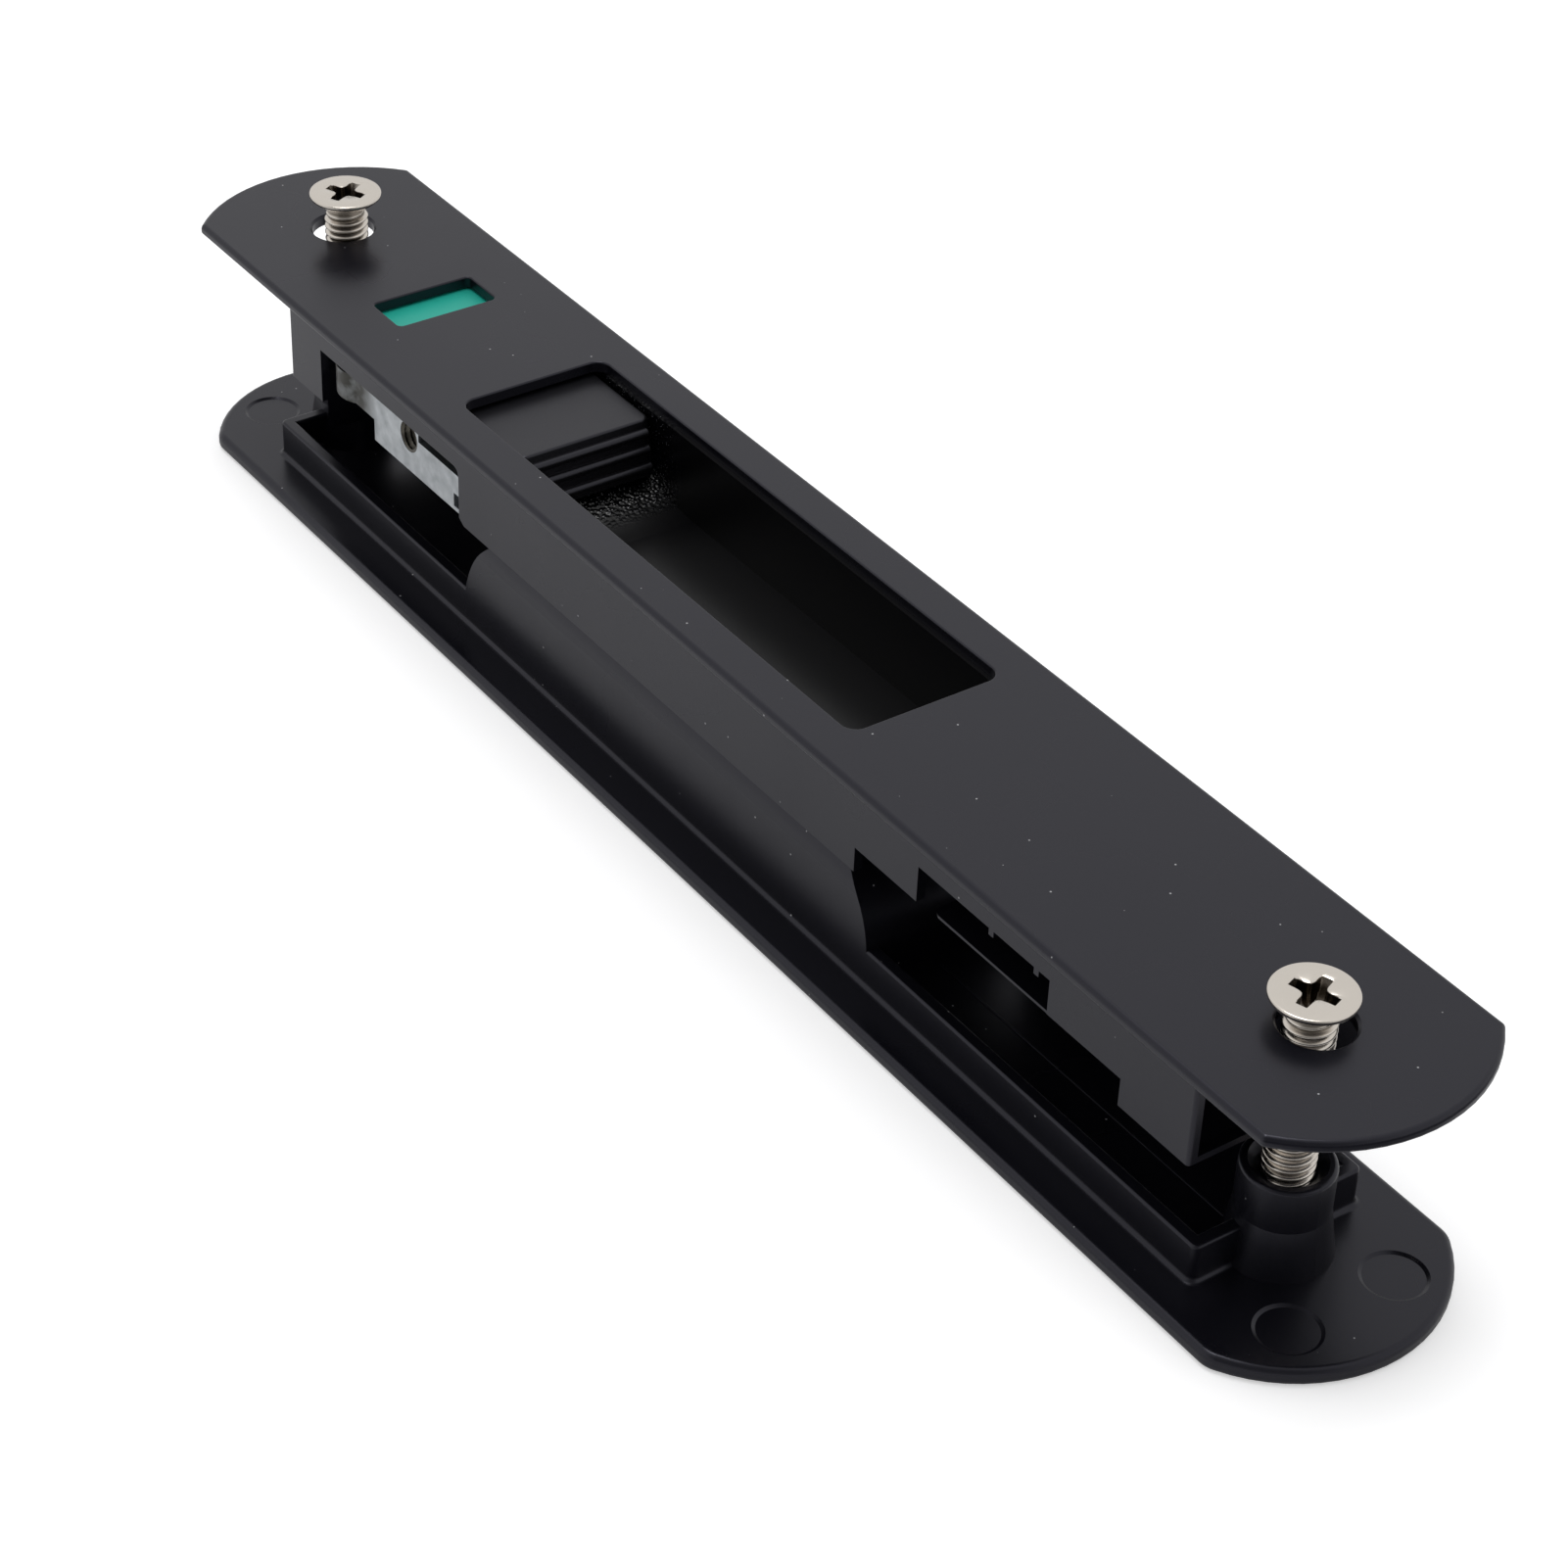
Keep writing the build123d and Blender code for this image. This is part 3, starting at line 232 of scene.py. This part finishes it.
cast = {
    "light": "#d8dcdf", "dark": "#898e91", "paintedShade": "#34322c", "mottleMm": 1.6,
    "shadeFrom": -59.0, "shadeTo": -63.0,  # along x, the painted shade deepens towards the pivot, where the case shades the hook
    "patchFrom": 0.3, "patchTo": 0.55, "shadeThin": 0.6, "shadeThick": 0.95,
    "rough": 0.42, "roughMore": 0.08, "roughLess": 0.1, "grainMm": 0.22, "grainHigh": 0.03, "grainBump": 0.4,
}


def castZinc():  # zinc die casting, tumbled: pale grey metal, mottled, fine pits, painted shade round the pivot where the case shades it
    material, tree, place = newMaterial("castZincTumbled")
    mottle = addNode(tree, "ShaderNodeTexNoise", values={"Scale": perMm(cast["mottleMm"]), "Detail": 4.0},
                     links={"Vector": place})
    grain = addNode(tree, "ShaderNodeTexNoise", values={"Scale": perMm(cast["grainMm"]), "Detail": 3.0},
                    links={"Vector": place})
    metal = addNode(tree, "ShaderNodeMix", {"data_type": "RGBA"},
                    {mixA: hexColour(cast["dark"]), mixB: hexColour(cast["light"])}, {0: mottle.outputs["Fac"]})
    along = addNode(tree, "ShaderNodeSeparateXYZ", links={"Vector": place})
    # painted shade: the hook darkens in patches towards the pivot end, which lies in the case's shade
    pivot = addNode(tree, "ShaderNodeMapRange", {"interpolation_type": "SMOOTHSTEP"},
                    {"From Min": cast["shadeFrom"] * mm, "From Max": cast["shadeTo"] * mm}, {"Value": along.outputs["X"]})
    patch = addNode(tree, "ShaderNodeMapRange", links={"Value": mottle.outputs["Fac"]}, values={
        "From Min": cast["patchFrom"], "From Max": cast["patchTo"],
        "To Min": cast["shadeThin"], "To Max": cast["shadeThick"]})
    pivotShade = addNode(tree, "ShaderNodeMath", {"operation": "MULTIPLY"},
                    links={0: pivot.outputs[0], 1: patch.outputs[0]})
    tint = addNode(tree, "ShaderNodeMix", {"data_type": "RGBA"}, {mixB: hexColour(cast["paintedShade"])},
                   {0: pivotShade.outputs[0], mixA: metal.outputs[mixOut]})
    rough = addNode(tree, "ShaderNodeMapRange", links={"Value": mottle.outputs["Fac"]}, values={
        "To Min": cast["rough"] + cast["roughMore"], "To Max": cast["rough"] - cast["roughLess"]})
    bump = addNode(tree, "ShaderNodeBump", values={"Strength": cast["grainBump"], "Distance": cast["grainHigh"] * mm},
                   links={"Height": grain.outputs["Fac"]})
    shader = addNode(tree, "ShaderNodeBsdfPrincipled", values={"Metallic": 1.0},
                     links={"Base Color": tint.outputs[mixOut], "Roughness": rough.outputs[0],
                            "Normal": bump.outputs[0]})
    closeMaterial(tree, shader)
    return material


drawn = {
    "stretch": 0.05, "roughLess": 0.06, "roughMore": 0.08, "lineHigh": 0.01, "lineBump": 0.15,
    # name, colour, roughness, spacing of the lines in millimetres
    "plated": ("zincPlatedSteel", "#b4b8bb", 0.32, 0.12), "spring": ("rolledSpringSteel", "#8f9294", 0.25, 0.08),
    # the thread in the hook's hole is dark grey, darker than the cast zinc round the hole
    "oxide": ("blackOxideSteel", "#2a2a2c", 0.4, 0.1), "tapped": ("darkHoleThread", "#55524b", 0.28, 0.12),
}


def drawnMetal(name, colour, rough, lineMm):  # plated, rolled or cut metal: fine tool lines along the lock
    material, tree, place = newMaterial(name)
    stretch = addNode(tree, "ShaderNodeMapping", values={"Scale": (drawn["stretch"], 1.0, 1.0)},
                      links={"Vector": place})
    line = addNode(tree, "ShaderNodeTexNoise", values={"Scale": perMm(lineMm), "Detail": 3.0},
                   links={"Vector": stretch.outputs[0]})
    spread = addNode(tree, "ShaderNodeMapRange", links={"Value": line.outputs["Fac"]}, values={
        "To Min": rough - drawn["roughLess"], "To Max": rough + drawn["roughMore"]})
    bump = addNode(tree, "ShaderNodeBump", values={"Strength": drawn["lineBump"], "Distance": drawn["lineHigh"] * mm},
                   links={"Height": line.outputs["Fac"]})
    shader = addNode(tree, "ShaderNodeBsdfPrincipled", values={"Base Color": hexColour(colour), "Metallic": 1.0},
                     links={"Roughness": spread.outputs[0], "Normal": bump.outputs[0]})
    closeMaterial(tree, shader)
    return material


nickel = {
    "colour": "#d6cfc6", "paintedShade": "#625a50", "rough": 0.2, "roughLess": 0.06, "roughMore": 0.12,
    "rubMm": 0.5, "rubHigh": 0.012, "rubBump": 0.15,
    "axis": 82.3, "shadeFrom": 2.16, "shadeTo": 1.98,  # the screws' place along x, and distances from their axis
    "flat": 0.96, "steep": 0.8,  # upward part of the normal on the head's flat and on a shaded wall
}


def nickelPlate():  # nickel-plated machine screw: bright, slightly warm, tumbled scuffs, painted shade in thread roots and cross
    material, tree, place = newMaterial("nickelPlatedSteel")
    # distance from either screw's axis, and how far the face turns away from the flat of the head
    part = addNode(tree, "ShaderNodeSeparateXYZ", links={"Vector": place})
    either = addNode(tree, "ShaderNodeMath", {"operation": "ABSOLUTE"}, links={0: part.outputs["X"]})
    width = addNode(tree, "ShaderNodeMath", {"operation": "SUBTRACT"}, {1: nickel["axis"] * mm}, {0: either.outputs[0]})
    flat = addNode(tree, "ShaderNodeCombineXYZ", links={"X": width.outputs[0], "Y": part.outputs["Y"]})
    radius = addNode(tree, "ShaderNodeVectorMath", {"operation": "LENGTH"}, links={0: flat.outputs[0]})
    inside = addNode(tree, "ShaderNodeMapRange", links={"Value": radius.outputs["Value"]}, values={
        "From Min": nickel["shadeFrom"] * mm, "From Max": nickel["shadeTo"] * mm})
    normal = addNode(tree, "ShaderNodeNewGeometry").outputs["Normal"]
    facing = addNode(tree, "ShaderNodeSeparateXYZ", links={"Vector": normal})
    steep = addNode(tree, "ShaderNodeMapRange", values={"From Min": nickel["flat"], "From Max": nickel["steep"]},
                    links={"Value": facing.outputs["Z"]})
    # painted shade: the thread roots and the walls of the cross are tinted dark where shade falls
    recessShade = addNode(tree, "ShaderNodeMath", {"operation": "MULTIPLY"},
                     links={0: inside.outputs[0], 1: steep.outputs[0]})
    tint = addNode(tree, "ShaderNodeMix", {"data_type": "RGBA"},
                   {mixA: hexColour(nickel["colour"]), mixB: hexColour(nickel["paintedShade"])}, {0: recessShade.outputs[0]})
    rub = addNode(tree, "ShaderNodeTexNoise", values={"Scale": perMm(nickel["rubMm"]), "Detail": 4.0},
                  links={"Vector": place})
    spread = addNode(tree, "ShaderNodeMapRange", links={"Value": rub.outputs["Fac"]}, values={
        "To Min": nickel["rough"] - nickel["roughLess"], "To Max": nickel["rough"] + nickel["roughMore"]})
    bump = addNode(tree, "ShaderNodeBump", values={"Strength": nickel["rubBump"], "Distance": nickel["rubHigh"] * mm},
                   links={"Height": rub.outputs["Fac"]})
    shader = addNode(tree, "ShaderNodeBsdfPrincipled", values={"Metallic": 1.0},
                     links={"Base Color": tint.outputs[mixOut], "Roughness": spread.outputs[0],
                            "Normal": bump.outputs[0]})
    closeMaterial(tree, shader)
    return material


finishes = {
    "powder": powderCoat(), "cup": mouldedCup(), "grip": mouldedGrip(), "zinc": castZinc(), "nickel": nickelPlate(),
    "green": colourPad("dyedAbsGreen", pad["green"]), "red": colourPad("dyedAbsRed", pad["red"]),
    **{finish: drawnMetal(*drawn[finish]) for finish in ("plated", "spring", "oxide", "tapped")},
}
wears = {
    "powder": ["lock_case", "pull_plate", "chamber_cover"], "cup": ["finger_cup"],
    "grip": ["thumb_slider", "indicator_carrier"], "green": ["flag_green"], "red": ["flag_red"], "zinc": ["hook"],
    "nickel": ["fixing_screws"], "spring": ["detent_spring"], "oxide": ["hook_set_screw"],
    "plated": ["slide_bar", "bar_keeper", "hook_pivot_pin", "pivot_washer", "hook_drive_pin", "keeper_screws",
               "slider_screws", "cup_screws", "cover_screws"],
}
for finish, names in wears.items():
    for name in names:
        held = nodes[name].data.materials
        held.clear()
        held.append(finishes[finish])
print("finishes on", sum(len(names) for names in wears.values()), "solids")


screw = {
    "places": [(-82.3, 0.0, 32.8, 29.0), (82.3, 0.0, 30.7, 19.0)],  # x, y, head top, turn of the cross in degrees
    "length": 25.0, "pitch": 0.8, "fullness": 0.7, "major": 2.45, "minor": 1.96, "tip": 1.0,
    "runIn": 1.2, "runOut": 0.9, "spareTurns": 3, "profile": 17,  # fades in millimetres, points across one pitch
    "head": 4.02, "rim": 0.45, "flat": 3.0, "neck": (0.3, 0.1),
    "underside": [(0.08, -0.03), (0.02, 0.02), (0.0, 0.08)],  # in from the head's edge, up from the rim's foot
    "topside": [(0.0, -0.16), (0.04, -0.07), (0.12, -0.02), (0.24, 0.0)],  # in from the head's edge, height
    "arm": 2.28, "armHalf": 0.54, "core": 1.02, "coreBlend": 4, "recess": 2.6, "cornerStep": 1.5,
    "cross": [((1.03, 1.1, 1.05), 0.0), ((1.0, 1.0, 1.0), -0.05), ((0.97, 0.96, 0.97), -0.3),
              ((0.78, 0.84, 0.88), -1.4), ((0.6, 0.78, 0.82), -2.0), ((0.3, 0.5, 0.3), -2.4)],  # shares of arm to core
}


def crossOutline(angle, arm, half, core):
    # distance from the axis to the cross: the arm's end or its side, whichever is nearer, with a rounded core
    blend, least = screw["coreBlend"], 1e-6  # least keeps the arm's middle line off zero
    off = np.abs((angle + math.pi / 4) % (math.pi / 2) - math.pi / 4)
    side = ((half / np.maximum(np.sin(off), least)) ** blend + core ** blend) ** (1 / blend)
    return np.minimum(arm / np.cos(off), side)


def screwPatches(x, y, top, turn):
    # directions round the axis, closer together at the corners of the cross
    corner = math.degrees(math.atan2(screw["armHalf"], screw["arm"]))
    eighth = np.array([0, 5, 9, corner, corner + screw["cornerStep"], 18, 21, 24, 28, 32, 36, 40.5])
    quarter = np.concatenate([eighth, [45.0], 90 - eighth[:0:-1]])
    angle = np.radians(np.concatenate([quarter + 90 * k for k in range(4)]))

    def place(radius, around, level):
        around = around + math.radians(turn)
        return np.stack([x + radius * np.cos(around), y + radius * np.sin(around), top + level + 0 * radius], axis=-1)

    def ring(radius, height):
        return place(np.broadcast_to(radius, angle.shape), angle, height)

    # thread: a profile swept up the helix, height = pitch * (turns + share of the profile), faded at both ends
    threadLow, threadHigh = -screw["length"], -(screw["rim"] + screw["head"] - screw["major"])
    share = np.linspace(0, 1, screw["profile"])
    wave = (0.5 - 0.5 * np.cos(2 * math.pi * share)) ** screw["fullness"]  # broad round crest, narrow root
    turns = int((threadHigh - threadLow) / screw["pitch"]) + screw["spareTurns"]
    along = np.concatenate([angle + 2 * math.pi * k for k in range(turns)] + [[2 * math.pi * turns]])
    level = threadLow + screw["pitch"] * (along[:, None] / (2 * math.pi) + share[None, :] - 1)
    level = np.clip(level, threadLow, threadHigh)
    fade = np.clip((level - threadLow) / screw["runIn"], 0, 1) * np.clip((threadHigh - level) / screw["runOut"], 0, 1)
    thread = place(screw["minor"] + (screw["major"] - screw["minor"]) * wave * fade, along[:, None] + 0 * level, level)

    # tip disc, then cone, rim, flat top and cross recess as rings
    tip = np.stack([ring(radius, threadLow) for radius in (0.0, screw["tip"], screw["minor"])])
    wider, higher = screw["neck"]
    rings = [ring(screw["minor"], threadHigh), ring(screw["minor"] + wider, threadHigh + higher)]
    rings += [ring(screw["head"] - inset, -screw["rim"] + rise) for inset, rise in screw["underside"]]
    rings += [ring(screw["head"] - inset, height) for inset, height in screw["topside"]]
    rings += [ring(screw["flat"], 0.0)]
    rings += [ring(crossOutline(angle, screw["arm"] * arm, screw["armHalf"] * half, screw["core"] * core), height)
              for (arm, half, core), height in screw["cross"]]
    head = np.stack(rings + [ring(0.0, -screw["recess"])])
    return [(tip, False, True), (thread, False, False), (head, False, True)]


for tag, spot in zip(("Far", "Near"), screw["places"]):
    piece = weldPiece("fixingScrew" + tag, screwPatches(*spot), "case")
    piece.data.materials.append(finishes["nickel"])
    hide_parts("fixing_screws")
    print("screw cut:", len(piece.data.polygons), "faces")


tapped = {
    "x": -52.6, "z": 18.85, "radius": 1.79, "skin": 0.01, "depth": 0.32, "pitch": 0.7, "from": -9.36, "to": -7.65,
    "steps": 72, "rows": 48,
}


def tappedPatch():
    # a thin sleeve in the hook's hole: outer wall on the hole, inner wall one ridge swept along the helix, both joined
    angle = np.linspace(0, 2 * math.pi, tapped["steps"], endpoint=False)
    along = np.linspace(tapped["from"], tapped["to"], tapped["rows"])
    phase = (along[:, None] / tapped["pitch"] + angle[None, :] / (2 * math.pi)) % 1.0
    inner = tapped["radius"] - tapped["skin"] - tapped["depth"] * (1 - np.abs(2 * phase - 1))
    radius = np.concatenate([inner, np.full_like(inner, tapped["radius"])[::-1]])
    level = np.concatenate([along, along[::-1]])[:, None] + 0 * radius
    return np.stack([tapped["x"] + radius * np.cos(angle), level, tapped["z"] + radius * np.sin(angle)], axis=-1)


hookThread = weldPiece("hookThread", [(tappedPatch(), True, True)], "hook_arm")
hookThread.data.materials.append(finishes["tapped"])
print("hook thread:", len(hookThread.data.polygons), "faces")


# wall that closes the far end below the case, along y, and fine rib on the pocket floor, along x
skirt = {"across": (-77.4, -76.5), "run": (-6.4, 9.2), "z": (6.5, 14.6), "round": 0.2, "mitre": 1.3, "steps": 5}
rib = {"across": (-1.72, -1.5), "run": (35.0, 77.4), "z": (1.8, 2.02), "round": 0.08, "mitre": 0.0, "steps": 5}


def barPatch(bar):
    # outline across and in z: each corner's centre plus a quarter turn of the round
    # it is carried along the run and drawn to its middle at both ends, and the mitre slants the first end
    turn = np.radians(np.arange(0, 360, 90)[:, None] + np.linspace(0, 90, bar["steps"])[None, :]).ravel()
    around = np.column_stack([np.cos(turn), np.sin(turn)])
    corner = np.repeat([[1, 1], [-1, 1], [-1, -1], [1, -1]], bar["steps"], axis=0)
    low, high = np.array([bar["across"][0], bar["z"][0]]), np.array([bar["across"][1], bar["z"][1]])
    outline = corner * ((high - low) / 2 - bar["round"]) + bar["round"] * around
    rows = []
    for share, run, slant in ((0.0, 0, 1), (1.0, 0, 1), (1.0, 1, 0), (0.0, 1, 0)):
        spot = (low + high) / 2 + share * outline
        reach = bar["run"][run] + bar["mitre"] * (high[0] - spot[:, 0]) * slant
        rows.append(np.column_stack([spot[:, 0], reach, spot[:, 1]]))
    return np.stack(rows)


farEndSkirt = weldPiece("farEndSkirt", [(barPatch(skirt), False, True)], "case")
farEndSkirt.data.materials.append(finishes["powder"])
pocketRib = weldPiece("pocketRib", [(barPatch(rib)[..., [1, 0, 2]], False, True)], "case")
pocketRib.data.materials.append(finishes["powder"])
print("end wall and rib:", len(farEndSkirt.data.polygons) + len(pocketRib.data.polygons), "faces")


sheet = {
    "colour": "#f2f2f3", "half": 3, "level": -0.00002, "lift": 0.47, "mirrorLift": 0.08,
    "darkColour": "#7a7a80", "darkFrom": 0.105, "darkTo": 0.13,  # darker in reflections past the near end, metres in x
}


def paleFloor():  # matt white sheet, lifted to white where it is looked at, shadow kept
    material, tree, place = newMaterial("paleSheet")
    path = addNode(tree, "ShaderNodeLightPath")
    along = addNode(tree, "ShaderNodeSeparateXYZ", links={"Vector": place})
    clear = addNode(tree, "ShaderNodeMapRange", {"interpolation_type": "SMOOTHSTEP"},
                    {"From Min": sheet["darkTo"], "From Max": sheet["darkFrom"]}, {"Value": along.outputs["X"]})
    mirror = addNode(tree, "ShaderNodeMath", {"operation": "MAXIMUM"},
                     links={0: path.outputs["Is Glossy Ray"], 1: path.outputs["Is Transmission Ray"]})
    glint = addNode(tree, "ShaderNodeMath", {"operation": "MULTIPLY"}, {1: sheet["mirrorLift"]}, {0: mirror.outputs[0]})
    glint = addNode(tree, "ShaderNodeMath", {"operation": "MULTIPLY"}, links={0: glint.outputs[0], 1: clear.outputs[0]})
    lift = addNode(tree, "ShaderNodeMath", {"operation": "MULTIPLY_ADD"}, {1: sheet["lift"]},
                   {0: path.outputs["Is Camera Ray"], 2: glint.outputs[0]})
    shut = addNode(tree, "ShaderNodeMath", {"operation": "SUBTRACT"}, {0: 1.0}, {1: clear.outputs[0]})
    dark = addNode(tree, "ShaderNodeMath", {"operation": "MULTIPLY"}, links={0: mirror.outputs[0], 1: shut.outputs[0]})
    tint = addNode(tree, "ShaderNodeMix", {"data_type": "RGBA"},
                   {mixA: hexColour(sheet["colour"]), mixB: hexColour(sheet["darkColour"])}, {0: dark.outputs[0]})
    matt = addNode(tree, "ShaderNodeBsdfDiffuse", links={"Color": tint.outputs[mixOut]})
    glow = addNode(tree, "ShaderNodeEmission", values={"Color": (1, 1, 1, 1)}, links={"Strength": lift.outputs[0]})
    both = addNode(tree, "ShaderNodeAddShader", links={0: matt.outputs[0], 1: glow.outputs[0]})
    closeMaterial(tree, both)
    return material


floorMesh = bpy.data.meshes.new("floor")
corners = [(right * sheet["half"], back * sheet["half"], sheet["level"])
           for right, back in ((-1, -1), (1, -1), (1, 1), (-1, 1))]
floorMesh.from_pydata(corners, [], [(0, 1, 2, 3)])
floorMesh.materials.append(paleFloor())
floor = bpy.data.objects.new("floor", floorMesh)
bpy.context.scene.collection.objects.link(floor)

# even white surround with one dim card, as behind a photographer
surround = {
    "sky": 0.7, "mirrorSky": 0.84, "card": (0.66, -0.58, 0.48), "cardShade": 0.35, "cardEdge": 0.55, "cardCore": 0.95,
}
world = bpy.data.worlds.new("studio")
bpy.context.scene.world = world
world.use_nodes = True
tree = world.node_tree
tree.nodes.clear()
card = np.array(surround["card"]) / np.linalg.norm(surround["card"])
heading = addNode(tree, "ShaderNodeTexCoord")
facing = addNode(tree, "ShaderNodeVectorMath", {"operation": "DOT_PRODUCT"}, {1: card.tolist()},
                 {0: heading.outputs["Generated"]})
shade = addNode(tree, "ShaderNodeMapRange", {"interpolation_type": "SMOOTHSTEP"},
                {"From Min": surround["cardEdge"], "From Max": surround["cardCore"],
                 "To Min": 1.0, "To Max": surround["cardShade"]},
                {"Value": facing.outputs["Value"]})
path = addNode(tree, "ShaderNodeLightPath")
mirror = addNode(tree, "ShaderNodeMath", {"operation": "MAXIMUM"},
                 links={0: path.outputs["Is Glossy Ray"], 1: path.outputs["Is Transmission Ray"]})
level = addNode(tree, "ShaderNodeMapRange", values={"To Min": surround["sky"], "To Max": surround["mirrorSky"]},
                links={"Value": mirror.outputs[0]})
level = addNode(tree, "ShaderNodeMath", {"operation": "MULTIPLY"}, links={0: level.outputs[0], 1: shade.outputs[0]})
power = addNode(tree, "ShaderNodeMath", {"operation": "MAXIMUM"},
                links={0: level.outputs[0], 1: path.outputs["Is Camera Ray"]})
soft = addNode(tree, "ShaderNodeBackground", values={"Color": (1, 1, 1, 1)}, links={"Strength": power.outputs[0]})
addNode(tree, "ShaderNodeOutputWorld", links={"Surface": soft.outputs[0]})

# soft box overhead: its back points away from the aim
key = {"place": (-0.12, -0.03, 0.9), "aim": (0, 0, 0.02), "width": 0.44, "depth": 0.32, "power": 2.2}
lamp = bpy.data.lights.new("keyLight", "AREA")
lamp.shape, lamp.size, lamp.size_y, lamp.energy = "RECTANGLE", key["width"], key["depth"], key["power"]
keyLight = bpy.data.objects.new("keyLight", lamp)
away = np.array(key["place"]) - np.array(key["aim"])
away = away / np.linalg.norm(away)
side = np.cross((0, 0, 1), away)
side = side / np.linalg.norm(side)
turn = np.column_stack([side, np.cross(away, side), away])
keyLight.matrix_world = Matrix.Translation(key["place"]) @ Matrix(turn.tolist()).to_4x4()
bpy.context.scene.collection.objects.link(keyLight)

# camera fitted to the face plate's outline
view = {
    "eye": (0.25004, -0.17878, 0.22565), "ahead": (-0.6518, 0.4773, -0.5894), "right": (0.57016, 0.82082, 0.03418),
    "lens": 84.864, "sensor": 36.0, "near": 0.01, "far": 20,
}
ahead = np.array(view["ahead"]) / np.linalg.norm(view["ahead"])
right = np.array(view["right"])
right = right - ahead * (right @ ahead)
right = right / np.linalg.norm(right)
pose = np.eye(4)
pose[:3] = np.column_stack([right, np.cross(right, ahead), -ahead, view["eye"]])
lens = bpy.data.cameras.new("photoCamera")
lens.lens, lens.sensor_width, lens.sensor_fit = view["lens"], view["sensor"], "HORIZONTAL"
lens.clip_start, lens.clip_end = view["near"], view["far"]
camera = bpy.data.objects.new("photoCamera", lens)
camera.matrix_world = Matrix(pose.tolist())
bpy.context.scene.collection.objects.link(camera)
bpy.context.scene.camera = camera
bpy.context.scene.view_settings.view_transform = "Standard"
print("stage set")
